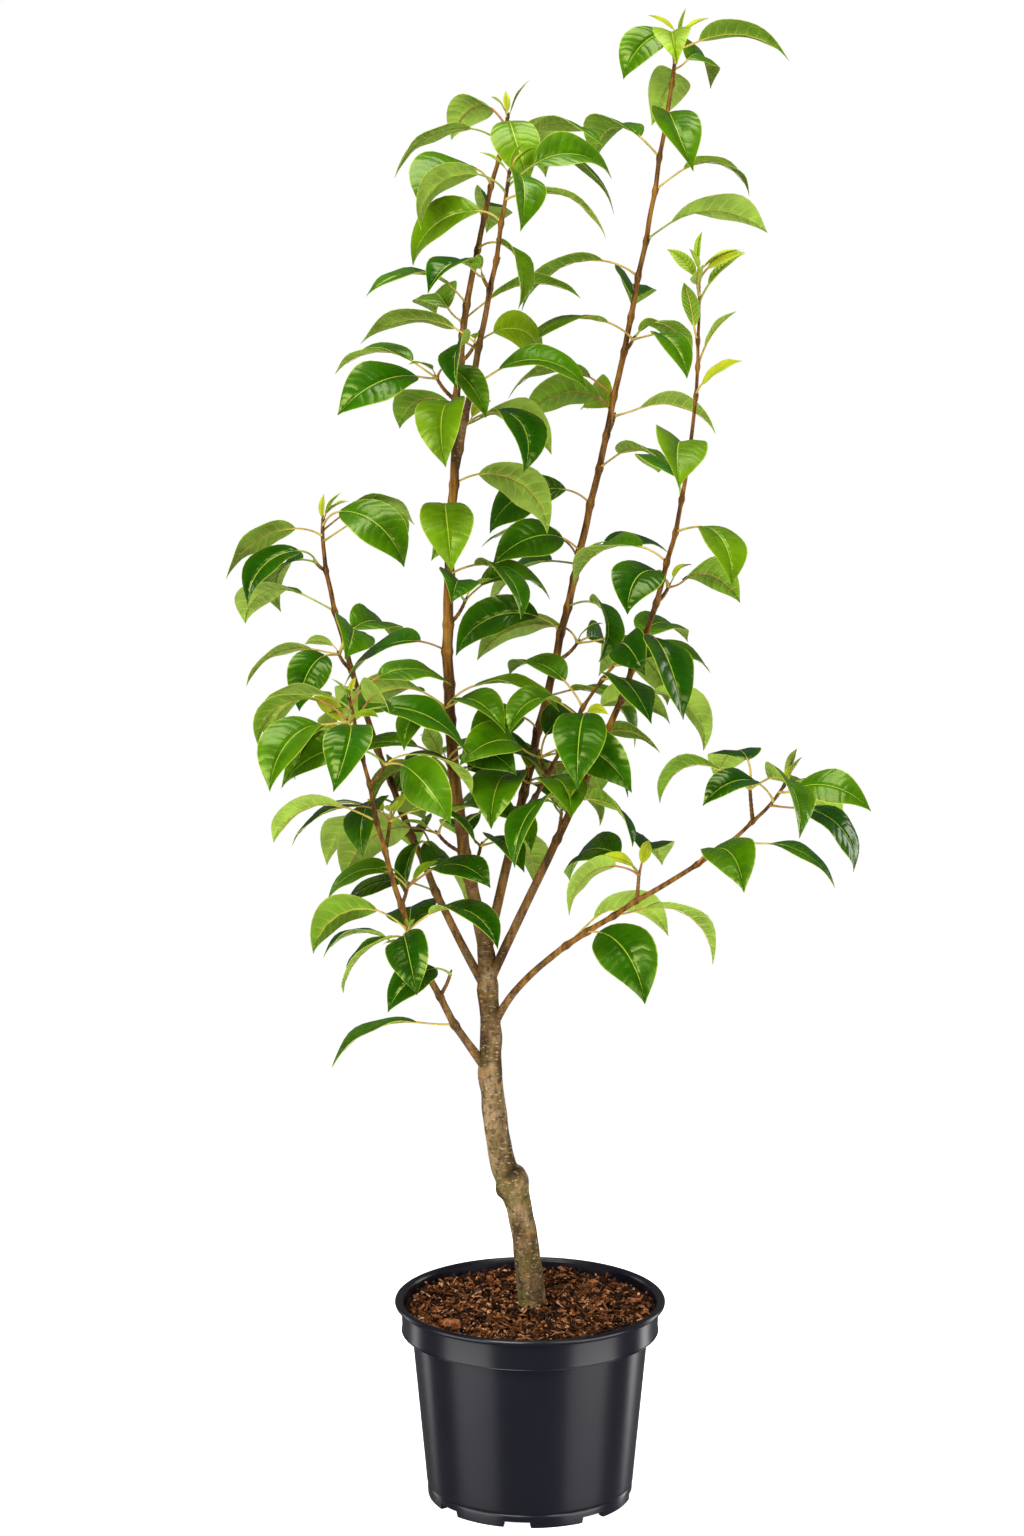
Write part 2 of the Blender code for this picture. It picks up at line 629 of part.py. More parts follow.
def make_pot():
    collar_foot = POT_HEIGHT - LIP_HEIGHT - COLLAR_HEIGHT
    ledge = collar_foot + WALL
    lip_foot = POT_HEIGHT - LIP_HEIGHT
    profile = (
        (0, 0),
        (CENTRE_PAD_RADIUS, 0),
        (CENTRE_PAD_RADIUS + FLOOR_SLOPE, FLOOR_UNDERSIDE),
        (BASE_RING_INNER_RADIUS - FLOOR_SLOPE, FLOOR_UNDERSIDE),
        (BASE_RING_INNER_RADIUS, 0),
        (BASE_RING_RADIUS - EDGE_ROUND, 0),
        (BASE_RING_RADIUS, EDGE_ROUND),
        (BASE_RING_RADIUS, BASE_RING_HEIGHT - GROOVE_HEIGHT),
        (BODY_FOOT_RADIUS - GROOVE_DEPTH, BASE_RING_HEIGHT),
        (BODY_FOOT_RADIUS, BASE_RING_HEIGHT + GROOVE_HEIGHT),
        (BODY_TOP_RADIUS, collar_foot),
        (COLLAR_FOOT_RADIUS - EDGE_ROUND, collar_foot),
        (COLLAR_FOOT_RADIUS, collar_foot + EDGE_ROUND),
        (COLLAR_TOP_RADIUS, lip_foot),
        (LIP_RADIUS - EDGE_ROUND, lip_foot),
        (LIP_RADIUS, lip_foot + LIP_ROUND),
        (LIP_RADIUS - EDGE_ROUND, POT_HEIGHT - EDGE_ROUND),
        (LIP_RADIUS - LIP_ROUND, POT_HEIGHT),
        (LIP_INNER_RADIUS + EDGE_ROUND, POT_HEIGHT),
        (COLLAR_TOP_RADIUS - WALL, POT_HEIGHT - LIP_ROUND),
        (COLLAR_FOOT_RADIUS - WALL, ledge),
        (BODY_TOP_RADIUS - WALL, ledge),
        (BODY_FOOT_RADIUS - WALL, FLOOR_TOP),
        (0, FLOOR_TOP),
    )
    pot = turned("pot", profile, POT_SIDES)
    notches = bpy.data.collections.new("notches")
    bpy.context.scene.collection.children.link(notches)
    for number in range(NOTCH_COUNT):
        notches.objects.link(notch_cutter(number))
    boolean(pot, "DIFFERENCE", collection=notches)
    dress(pot, POT_FINISH)


def notch_cutter(number):
    """A wedge-sided block that cuts one drain notch in the base ring."""
    half = 0.5 * NOTCH_WIDTH
    near = BASE_RING_INNER_RADIUS - NOTCH_OVERCUT
    far = BASE_RING_RADIUS + NOTCH_OVERCUT
    outline = (
        (-half - NOTCH_SLOPE, -NOTCH_OVERCUT),
        (half + NOTCH_SLOPE, -NOTCH_OVERCUT),
        (half - NOTCH_SLOPE, NOTCH_HEIGHT),
        (NOTCH_SLOPE - half, NOTCH_HEIGHT),
    )
    rings = [[Vector((x, -distance, z)) for x, z in outline] for distance in (far, near)]
    points, faces = loft(rings)
    mesh = bpy.data.meshes.new("notch")
    mesh.from_pydata(points, [], faces)
    mesh.transform(Matrix.Rotation(FIRST_NOTCH_TURN + TURN * number / NOTCH_COUNT, 4, "Z"))
    shape = bmesh.new()
    shape.from_mesh(mesh)
    bmesh.ops.recalc_face_normals(shape, faces=shape.faces)
    shape.to_mesh(mesh)
    shape.free()
    return bpy.data.objects.new("notch", mesh)


def make_compost():
    """The root ball and its bark compost, one block that fills the pot's inside."""
    collar_foot = POT_HEIGHT - LIP_HEIGHT - COLLAR_HEIGHT
    above_ledge = collar_foot + WALL + GAP
    clear = WALL + GAP + COMPOST_PLAY
    rise = (SOIL_HEIGHT - collar_foot) / COLLAR_HEIGHT
    top = COLLAR_FOOT_RADIUS + (COLLAR_TOP_RADIUS - COLLAR_FOOT_RADIUS) * rise
    profile = (
        (0, FLOOR_TOP + GAP),
        (BODY_FOOT_RADIUS - clear, FLOOR_TOP + GAP),
        (BODY_TOP_RADIUS - clear, above_ledge),
        (COLLAR_FOOT_RADIUS - clear, above_ledge),
        (top - clear, SOIL_HEIGHT),
        (0, SOIL_HEIGHT),
    )
    dress(turned("compost", profile, POT_SIDES), COMPOST_FINISH)


def make_trunk():
    dress(solid("trunk", *loft(trunk_rings())), TRUNK_FINISH)


def make_bough(name, end):
    limb = LIMBS[name]
    bough = solid(f"bough_{name}", *loft(limb_rings(limb, 0, end)))
    if limb.clear_of:
        cut_foot(bough, limb)
    dress(bough, BOUGH_FINISH)


def make_mass(mass, growth):
    """One mass: its stretch of stem with its spurs and leaves fused on."""
    limb = LIMBS[mass.limb]
    start = mass.start
    if start > 0:
        start += GAP / limb_length(limb)
    if mass.rosette:
        rings = limb_rings(limb, start, 1 - BUD_LENGTH / limb_length(limb))
        rings.append([limb_point(limb, 1)])
    else:
        rings = limb_rings(limb, start, mass.end)
    made = solid(mass.name, *loft(rings))
    if mass.start == 0 and limb.clear_of:
        cut_foot(made, limb)
    grown = bpy.data.collections.new(mass.name)
    bpy.context.scene.collection.children.link(grown)
    for spur in growth.spurs:
        solid("spur", *loft(spur), grown)
    for leaf in growth.leaves:
        solid("leaf", *loft(leaf_rings(leaf)), grown)
    boolean(made, "UNION", collection=grown)
    keep_largest_body(made)
    dress(made, LEAF_FINISH)


def main():
    clear_scene()
    make_pot()
    make_compost()
    make_trunk()
    for name, end in BOUGHS.items():
        make_bough(name, end)
    taken = []
    for mass in MASSES:
        growth = grow_mass(mass, taken)
        make_mass(mass, growth)
        taken += growth.whole


if __name__ == "__main__":
    main()
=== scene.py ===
"""The looks of a comice pear tree in a ten-litre nursery pot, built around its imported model.

Metres, +Z up, in the model's own frame: the pot stands on z = 0 and -Y is the front. The tree's leaves
and spurs grow by the same seeded rule as the solids, and finer parts are then grown on from them.
"""

import random
from collections import namedtuple
from functools import cache
from math import ceil, cos, exp, hypot, pi, radians, sin

import bpy
import numpy as np
from mathutils import Matrix, Vector, noise
from mathutils.bvhtree import BVHTree


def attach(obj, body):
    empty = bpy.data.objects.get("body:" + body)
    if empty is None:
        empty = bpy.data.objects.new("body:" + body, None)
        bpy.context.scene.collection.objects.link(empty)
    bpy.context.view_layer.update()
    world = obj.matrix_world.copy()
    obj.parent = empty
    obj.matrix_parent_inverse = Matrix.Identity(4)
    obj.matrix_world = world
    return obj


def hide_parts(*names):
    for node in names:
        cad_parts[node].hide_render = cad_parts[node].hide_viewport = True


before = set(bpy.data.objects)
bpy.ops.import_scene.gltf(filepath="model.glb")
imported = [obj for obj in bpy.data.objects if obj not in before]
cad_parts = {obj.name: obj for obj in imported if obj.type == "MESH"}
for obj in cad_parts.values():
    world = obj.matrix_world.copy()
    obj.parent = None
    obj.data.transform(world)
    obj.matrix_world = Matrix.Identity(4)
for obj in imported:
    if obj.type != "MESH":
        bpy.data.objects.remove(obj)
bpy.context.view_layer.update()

GAP = 0.0003
TURN = 2 * pi
UP = Vector((0, 0, 1))

# Pot: a ten-litre moulded nursery pot, 28 cm across its lip and 21 cm tall
POT_HEIGHT = 0.211
LIP_RADIUS = 0.140
LIP_HEIGHT = 0.0055
LIP_INNER_RADIUS = 0.1337
COLLAR_TOP_RADIUS = 0.1337
COLLAR_FOOT_RADIUS = 0.1325
COLLAR_HEIGHT = 0.028
BODY_TOP_RADIUS = 0.1225
BODY_FOOT_RADIUS = 0.1072
BASE_RING_HEIGHT = 0.014
BASE_RING_RADIUS = 0.1062
BASE_RING_INNER_RADIUS = 0.0985
GROOVE_DEPTH = 0.0008
GROOVE_HEIGHT = 0.0012
EDGE_ROUND = 0.0008
LIP_ROUND = 0.0022
WALL = 0.0025
FLOOR_UNDERSIDE = 0.009
FLOOR_TOP = 0.012
FLOOR_SLOPE = 0.0015
CENTRE_PAD_RADIUS = 0.016
POT_SIDES = 48
NOTCH_COUNT = 8
NOTCH_WIDTH = 0.029
NOTCH_HEIGHT = 0.0065
NOTCH_SLOPE = 0.0015
NOTCH_OVERCUT = 0.008
FIRST_NOTCH_TURN = radians(-7.3)

# Compost: fills the pot to 12 mm under the lip, with a little play at the wall
SOIL_HEIGHT = 0.199
COMPOST_PLAY = 0.0003

# Trunk: its line from the soil to the fork, with the kink of the graft a hand above the soil
TRUNK_LINE = (
    (0.0020, 0.0150, SOIL_HEIGHT + GAP),
    (-0.0040, 0.0142, 0.262),
    (-0.0110, 0.0137, 0.303),
    (-0.0195, 0.0133, 0.333),
    (-0.0280, 0.0131, 0.352),
    (-0.0360, 0.0125, 0.397),
    (-0.0403, 0.0118, 0.455),
    (-0.0408, 0.0113, 0.500),
    (-0.0440, 0.0108, 0.543),
    (-0.0462, 0.0103, 0.585),
)
TRUNK_FOOT_RADIUS = 0.0141
TRUNK_MID_RADIUS = 0.0124
TRUNK_MID_HEIGHT = 0.385
TRUNK_TOP_RADIUS = 0.0080
ROOT_FLARE = 0.0012
ROOT_FLARE_REACH = 0.010
GRAFT_HEIGHT = 0.328
GRAFT_SWELL = 0.0030
GRAFT_REACH = 0.013
TRUNK_SIDES = 12
TRUNK_RINGS_PER_SPAN = 3
TOP_TAPER_POWER = 1.5

# Limbs: each a cubic curve from its foot through two bends to its tip, with its bare radius at both
# ends, how far its foot swells, and the limbs that its foot is cut clear of
Limb = namedtuple("Limb", "name foot bend_out bend_up tip foot_radius tip_radius swell clear_of")
LIMBS = {
    limb.name: limb
    for limb in (
        Limb("low_left", (-0.0410, 0.012, 0.449), (-0.137, -0.013, 0.574), (-0.151, -0.064, 0.729),
             (-0.178, -0.100, 0.857), 0.0046, 0.0018, 0.0026, ("trunk",)),
        Limb("mid_left", (-0.0437, 0.012, 0.536), (-0.114, 0.040, 0.644), (-0.220, 0.099, 0.924),
             (-0.214, 0.140, 1.0015), 0.0050, 0.0022, 0.0020, ("trunk",)),
        Limb("leader", (-0.0462, 0.0103, 0.5853), (-0.091, 0.008, 0.758), (-0.087, 0.003, 0.926),
             (-0.0754, 0.000, 1.080), 0.0066, 0.0045, 0.0014, ()),
        Limb("leader_left", (-0.0754, 0.000, 1.0807), (-0.075, 0.011, 1.231), (-0.044, 0.034, 1.322),
             (-0.0236, 0.050, 1.4145), 0.0040, 0.0018, 0.0006, ()),
        Limb("leader_right", (-0.0750, 0.000, 1.0740), (-0.053, -0.012, 1.186), (-0.033, -0.034, 1.279),
             (-0.0216, -0.050, 1.365), 0.0038, 0.0018, 0.0006, ("leader", "leader_left")),
        Limb("tall", (-0.0457, 0.0105, 0.572), (0.032, 0.055, 0.906), (0.109, 0.115, 1.194),
             (0.150, 0.160, 1.493), 0.0058, 0.0022, 0.0010, ("trunk", "leader")),
        Limb("right", (-0.0437, 0.011, 0.5415), (0.080, -0.027, 0.8225), (0.169, -0.105, 0.975),
             (0.1585, -0.160, 1.277), 0.0055, 0.0014, 0.0014, ("trunk", "leader")),
        Limb("low_right", (-0.0400, 0.012, 0.4885), (-0.012, -0.013, 0.602), (0.191, -0.064, 0.665),
             (0.248, -0.100, 0.769), 0.0046, 0.0018, 0.0018, ("trunk",)),
        Limb("front", (-0.0100, 0.0315, 0.724), (0.004, 0.012, 0.707), (0.049, -0.019, 0.859),
             (0.0957, -0.040, 0.892), 0.0026, 0.0015, 0.0006, ("tall",)),
    )
}
SWELL_REACH = 0.028
LIMB_SIDES = 8
RING_SPACING = 0.040
RING_MARGIN = 0.004
DIRECTION_STEP = 0.002
LENGTH_STEPS = 24
BUD_LENGTH = 0.006
TEST_MARGIN = 2 * GAP

# Boughs: the bare lower stretch of a limb, up to the share of its length where foliage begins
BOUGHS = {"low_left": 0.10, "mid_left": 0.20, "leader": 0.10, "tall": 0.12, "right": 0.18, "low_right": 0.30}

# Leaves: ovate, arched over, folded along the midrib
Habit = namedtuple("Habit", "length width petiole lean rise arch fold vigour_spread")
GROWN = Habit(0.100, 0.56, 0.034, radians(52), radians(14), radians(98), radians(27), 0.13)
YOUNG = Habit(0.056, 0.34, 0.016, radians(30), radians(52), radians(45), radians(30), 0.20)
LEAF_THICKNESS_SHARE = 0.011
PETIOLE_RADIUS = 0.0010
LEAF_STATIONS = (0.14, 0.42, 0.76)
BROAD_BASE = 0.80
LONG_TIP = 0.98
TIP_PINCH = 0.68
PINCH_POWER = 6
GOLDEN_TURN = radians(137.5)
LEAF_TRIES = 8
LEAF_SPREAD = 0.35

# How far single leaves stray from their habit: factors, then turns in radians
LEAN_SPREAD = (0.75, 1.25)
PETIOLE_SPREAD = (0.75, 1.25)
ARCH_SPREAD = (0.72, 1.18)
FOLD_SPREAD = (0.55, 1.35)
WIDTH_SPREAD = (0.93, 1.10)
YAWS = (-0.45, 0.45)
EXTRA_RISES = (-0.30, 0.40)
SWEEPS = (-0.45, 0.45)
ROLLS = (-0.60, 0.60)
LEAST_HEADING = 0.2

# Spurs: short side twigs with a few leaves at their tip
SPUR_LENGTHS = (0.012, 0.036)
SPUR_LEAN = radians(52)
SPUR_LIFT = 0.5
SPUR_RADIUS = 0.0019
SPUR_TIP_RADIUS = 0.0016
SPUR_LEAVES = (2, 3, 3, 4)
SPUR_LEAF_SIZES = (0.80, 1.04)
ROSETTE_LEAF_SIZES = (0.78, 0.98)
TWIG_SIDES = 4
FIRST_NODE = 0.018
ROSETTE_STEP = 0.0065
SPACING_SPREAD = (0.8, 1.2)

# Foliage: the stretch of a limb that each mass holds, the spacing of its nodes, the share of nodes
# that are spurs, the leaves of the rosette at its tip, and the habit of its leaves. One seed starts
# every mass's own draws.
SEED = 1108
Mass = namedtuple("Mass", "name limb start end spacing spurs rosette habit")
MASSES = (
    Mass("foliage_low_left_1", "low_left", 0.10, 0.56, 0.034, 0.45, 0, GROWN),
    Mass("foliage_low_left_2", "low_left", 0.56, 1.00, 0.036, 0.35, 4, GROWN),
    Mass("foliage_mid_left_1", "mid_left", 0.20, 0.54, 0.034, 0.45, 0, GROWN),
    Mass("foliage_mid_left_2", "mid_left", 0.54, 0.80, 0.034, 0.45, 0, GROWN),
    Mass("foliage_mid_left_3", "mid_left", 0.80, 1.00, 0.032, 0.15, 4, GROWN),
    Mass("foliage_low_right_1", "low_right", 0.30, 0.66, 0.034, 0.35, 0, GROWN),
    Mass("foliage_low_right_2", "low_right", 0.66, 1.00, 0.034, 0.25, 4, GROWN),
    Mass("foliage_leader_1", "leader", 0.10, 0.42, 0.030, 0.55, 0, GROWN),
    Mass("foliage_leader_2", "leader", 0.42, 0.72, 0.030, 0.55, 0, GROWN),
    Mass("foliage_leader_3", "leader", 0.72, 1.00, 0.030, 0.50, 0, GROWN),
    Mass("foliage_leader_left_1", "leader_left", 0.00, 0.50, 0.034, 0.40, 0, GROWN),
    Mass("foliage_leader_left_2", "leader_left", 0.50, 1.00, 0.032, 0.20, 5, GROWN),
    Mass("foliage_leader_right_1", "leader_right", 0.00, 0.52, 0.036, 0.35, 0, GROWN),
    Mass("foliage_leader_right_2", "leader_right", 0.52, 1.00, 0.034, 0.15, 4, GROWN),
    Mass("foliage_tall_1", "tall", 0.12, 0.29, 0.032, 0.50, 0, GROWN),
    Mass("foliage_tall_2", "tall", 0.29, 0.46, 0.032, 0.50, 0, GROWN),
    Mass("foliage_tall_3", "tall", 0.46, 0.63, 0.034, 0.40, 0, GROWN),
    Mass("foliage_tall_4", "tall", 0.63, 0.81, 0.038, 0.30, 0, GROWN),
    Mass("foliage_tall_5", "tall", 0.81, 1.00, 0.036, 0.15, 5, GROWN),
    Mass("foliage_front", "front", 0.00, 1.00, 0.034, 0.25, 4, GROWN),
    Mass("foliage_right_1", "right", 0.18, 0.40, 0.032, 0.50, 0, GROWN),
    Mass("foliage_right_2", "right", 0.40, 0.61, 0.032, 0.50, 0, GROWN),
    Mass("foliage_right_3", "right", 0.61, 0.84, 0.036, 0.15, 0, GROWN),
    Mass("foliage_right_4", "right", 0.84, 1.00, 0.030, 0.00, 4, YOUNG),
)

# Blades: side veins, the rows along and the columns out from the midrib, and how a blade is shaped
SIDE_VEINS = 10
FINE_VEINS = 4
BLADE_ROWS = (
    0, 0.012, 0.035, 0.07, 0.115, 0.17, 0.235, 0.31, 0.39, 0.47, 0.55, 0.63, 0.71, 0.79, 0.87, 0.94, 1,
)
BLADE_COLUMNS = (0.52, 1.0)
BLADE_END = 0.9975
FIRST_EDGE = 0.006
VEIN_CURVE = 1.3
BLADE_THICKNESS = 0.00042
DROOP = 0.30
EDGE_WAVE = 0.060
TWIST = 0.50
SPUR_LEAFLET = Habit(0.036, 0.42, 0.010, radians(36), radians(40), radians(62), radians(30), 0.22)
TIP_LEAFLET = Habit(0.032, 0.30, 0.008, radians(22), radians(58), radians(42), radians(36), 0.20)
SPUR_LEAFLETS = (0, 1, 1, 2)
TIP_LEAFLETS = 3

# Wood: how finely the bark is modelled, and how high its relief stands
TRUNK_FINE_SIDES = 64
TRUNK_FINE_STEP = 0.0016
LIMB_FINE_SIDES = 20
LIMB_FINE_STEP = 0.0024
RELIEF_SHARE = 0.100
SLIMNESS = 0.86
NODE_SWELL = 0.0011
NODE_REACH = 0.0040
NODE_BEND = 0.0008
NODE_BEND_REACH = 0.014
BUD_SIZE = 0.0050
FOOT_YOUTH = 0.25
YOUTH_REACH = 0.10

# Compost: chips of bark on a bumpy bed
BED_RADIUS = 0.1302
BED_DEPTH = 0.0052
RIM_HEAP = 0.0060
CHIP_COUNT = 2300
CHIP_LENGTHS = (0.0034, 0.0135)
CRUMB_COUNT = 1300
CRUMB_LENGTHS = (0.0014, 0.0034)
FIBRE_COUNT = 420
FIBRE_LENGTHS = (0.0080, 0.0190)
LARGE_CHIP_PLACE = (-0.081, -0.066, 0.2040)

# View: the camera's place and tilt, and its lens on a 36 mm frame
CAMERA_PLACE = (-0.01865, -4.0, 1.54)
CAMERA_TILT = radians(90 - 10.9)
CAMERA_LENS = 94.55

# Studio
AIR_LIGHT = 0.12
FLOOR_RADIUS = 1.1
FLOOR_GLOW = 1.0

# Colours as linear red, green and blue
# Blade tones, dark to light: dealt out partly at random and partly by height, as painted shade low in the
# crown and painted light high up
BLADE_TONES = (
    ("blade_deep", (0.006, 0.050, 0.0002), (0.052, 0.150, 0.003), 0.23),
    ("blade_dark", (0.015, 0.080, 0.0002), (0.085, 0.200, 0.004), 0.24),
    ("blade_mid", (0.040, 0.126, 0.0003), (0.135, 0.262, 0.005), 0.27),
    ("blade_bright", (0.084, 0.182, 0.0005), (0.210, 0.340, 0.008), 0.31),
    ("blade_light", (0.162, 0.266, 0.003), (0.310, 0.430, 0.020), 0.38),
    ("blade_young", (0.370, 0.405, 0.014), (0.410, 0.490, 0.045), 0.42),
)
UNDER_TONES = (
    ("under_green", (0.130, 0.250, 0.014), (0.300, 0.420, 0.055), 0.50),
    ("under_pale", (0.225, 0.350, 0.036), (0.420, 0.520, 0.110), 0.52),
)
# Shine of a blade, height of its veins, how clearly they are drawn and how widely
VEINS_ABOVE = (0.42, 0.00034, 0.36, 0.13)
VEINS_YOUNG = (0.25, 0.00015, 0.30, 0.13)
VEINS_BELOW = (0.16, -0.0006, 0.85, 0.26)
MIDRIB_COLOUR = (0.400, 0.500, 0.050)
GLOSS_TINT = (0.85, 1.0, 0.25)
BARK_GLOSS_TINT = (1.0, 0.85, 0.60)
# Pale margin: the leaf's own paler edge, and a painted highlight along it
MARGIN_AND_EDGE_HIGHLIGHT_COLOUR = (0.340, 0.450, 0.035)
# Heights over which blade tones run from painted shade to painted light
PAINTED_SHADE_HEIGHT = 0.85
PAINTED_LIGHT_HEIGHT = 1.25
BLACK = (0, 0, 0)
WHITE = (1, 1, 1)


# Limbs, as in the solids


def loft(rings):
    """Points and faces of a closed skin over rings with equal counts; the last ring may be one point."""
    count = len(rings[0])
    points = [point for ring in rings for point in ring]
    faces = [tuple(reversed(range(count)))]
    for step, ring in enumerate(rings[1:]):
        low = step * count
        high = low + count
        for side in range(count):
            along = (side + 1) % count
            if len(ring) == 1:
                faces.append((low + side, low + along, high))
            else:
                faces.append((low + side, low + along, high + along, high + side))
    if len(rings[-1]) > 1:
        faces.append(tuple(range(len(points) - count, len(points))))
    return points, faces


def ways_along(points):
    """The way that a line of points runs at each of them."""
    last = len(points) - 1
    pairs = [(points[max(index - 1, 0)], points[min(index + 1, last)]) for index in range(last + 1)]
    return [(after - before).normalized() for before, after in pairs]


def tube_rings(points, ways, radii, sides):
    """Rings round a line of points, turned as little as possible from one to the next."""
    rings = []
    across = None
    for point, along, radius in zip(points, ways, radii):
        across = along.orthogonal() if across is None else across - along * across.dot(along)
        across.normalize()
        up = along.cross(across)
        turns = [TURN * side / sides for side in range(sides)]
        rings.append([point + (across * cos(turn) + up * sin(turn)) * radius for turn in turns])
    return rings


def level(ring, height):
    """The ring with all its corners at one height, as a level cut."""
    return [Vector((corner.x, corner.y, height)) for corner in ring]


def limb_point(limb, share):
    foot, out, rise, tip = (Vector(p) for p in (limb.foot, limb.bend_out, limb.bend_up, limb.tip))
    rest = 1 - share
    return (
        foot * rest**3 + out * (3 * share * rest**2) + rise * (3 * share**2 * rest) + tip * share**3
    )


def limb_direction(limb, share):
    low = max(share - DIRECTION_STEP, 0)
    high = min(share + DIRECTION_STEP, 1)
    return (limb_point(limb, high) - limb_point(limb, low)).normalized()


def limb_length(limb, start=0, end=1):
    span = (end - start) / LENGTH_STEPS
    line = [limb_point(limb, start + span * step) for step in range(LENGTH_STEPS + 1)]
    return sum((b - a).length for a, b in zip(line, line[1:]))


def limb_radius(limb, share):
    grown = limb.tip_radius + (limb.foot_radius - limb.tip_radius) * (1 - share)
    return grown + limb.swell * exp(-share * limb_length(limb) / SWELL_REACH)


def limb_rings(limb, start, end, extra=0.0):
    """Rings along a stretch of a limb; extra makes it thicker, for a cutter."""
    length = limb_length(limb)
    count = ceil(length / RING_SPACING)
    every = [SWELL_REACH / length] + [step / count for step in range(1, count)]
    margin = RING_MARGIN / length
    shares = [start] + [share for share in every if start + margin < share < end - margin] + [end]
    points = [limb_point(limb, share) for share in shares]
    ways = [limb_direction(limb, share) for share in shares]
    radii = [limb_radius(limb, share) + extra for share in shares]
    rings = tube_rings(points, ways, radii, LIMB_SIDES)
    if start == 0 and not limb.clear_of:
        rings[0] = level(rings[0], limb.foot[2])
    return rings


def trunk_point(height_share):
    """A smooth line through the trunk's points, by share of their number."""
    last = len(TRUNK_LINE) - 1
    place = height_share * last
    span = min(int(place), last - 1)
    inside = place - span
    corners = [Vector(TRUNK_LINE[min(max(span + step, 0), last)]) for step in (-1, 0, 1, 2)]
    before, start, end, after = corners
    return 0.5 * (
        2 * start
        + (end - before) * inside
        + (2 * before - 5 * start + 4 * end - after) * inside**2
        + (3 * start - before - 3 * end + after) * inside**3
    )


def trunk_radius(height):
    low = TRUNK_LINE[0][2]
    high = TRUNK_LINE[-1][2]
    if height < TRUNK_MID_HEIGHT:
        share = (height - low) / (TRUNK_MID_HEIGHT - low)
        bare = TRUNK_FOOT_RADIUS + (TRUNK_MID_RADIUS - TRUNK_FOOT_RADIUS) * share
    else:
        share = (height - TRUNK_MID_HEIGHT) / (high - TRUNK_MID_HEIGHT)
        bare = TRUNK_MID_RADIUS + (TRUNK_TOP_RADIUS - TRUNK_MID_RADIUS) * share**TOP_TAPER_POWER
    flare = ROOT_FLARE * exp(-(height - low) / ROOT_FLARE_REACH)
    graft = GRAFT_SWELL * exp(-(((height - GRAFT_HEIGHT) / GRAFT_REACH) ** 2))
    return bare + flare + graft


def trunk_rings(extra=0.0):
    count = (len(TRUNK_LINE) - 1) * TRUNK_RINGS_PER_SPAN
    points = [trunk_point(step / count) for step in range(count + 1)]
    radii = [trunk_radius(point.z) + extra for point in points]
    rings = tube_rings(points, ways_along(points), radii, TRUNK_SIDES)
    rings[0] = level(rings[0], points[0].z)
    rings[-1] = level(rings[-1], points[-1].z)
    return rings


def rings_of(limb_name, extra=0.0):
    """The whole of a limb or of the trunk, to test or to cut against."""
    if limb_name == "trunk":
        return trunk_rings(extra)
    return limb_rings(LIMBS[limb_name], 0, 1, extra)


# A leaf: root on its twig's axis, way out of the petiole, blade base and way along it, the way its
# midrib curls, and its angles
Leaf = namedtuple("Leaf", "root elbow base along bend arch roll fold length width")


def half_width(leaf, t):
    """Half the blade's width at share t of its length: broad round base, long pinched tip."""
    widest = BROAD_BASE / (BROAD_BASE + LONG_TIP)
    most = widest**BROAD_BASE * (1 - widest) ** LONG_TIP
    return 0.5 * leaf.width * t**BROAD_BASE * (1 - t) ** LONG_TIP / most * (1 - TIP_PINCH * t**PINCH_POWER)


def blade_frame(leaf, t):
    """The midrib's point at share t, and the ways along, across and up from the blade there."""
    turn = leaf.arch * t
    radius = leaf.length / leaf.arch
    point = leaf.base + leaf.along * (radius * sin(turn)) + leaf.bend * (radius * (1 - cos(turn)))
    along = leaf.along * cos(turn) + leaf.bend * sin(turn)
    side = leaf.along.cross(leaf.bend)
    up = along.cross(side)
    across = side * cos(leaf.roll) + up * sin(leaf.roll)
    return point, along, across, up * cos(leaf.roll) - side * sin(leaf.roll)


def petiole_point(leaf, share):
    rest = 1 - share
    return leaf.root * rest**2 + leaf.elbow * (2 * share * rest) + leaf.base * share**2


def leaf_rings(leaf):
    """Four-cornered rings from the root along the petiole and the blade, and the blade's tip."""
    _, _, across, up = blade_frame(leaf, 0)
    rings = []
    for share in (0, 0.5, 1):
        point = petiole_point(leaf, share)
        sides = (across, up, -across, -up)
        rings.append([point + side * PETIOLE_RADIUS for side in sides])
    for station in LEAF_STATIONS:
        point, _, across, up = blade_frame(leaf, station)
        reach = across * (half_width(leaf, station) * cos(leaf.fold))
        lift = up * (half_width(leaf, station) * sin(leaf.fold))
        depth = up * (0.5 * LEAF_THICKNESS_SHARE * leaf.length)
        rings.append([point + reach + lift, point + depth, point - reach + lift, point - depth])
    rings.append([blade_frame(leaf, 1)[0]])
    return rings


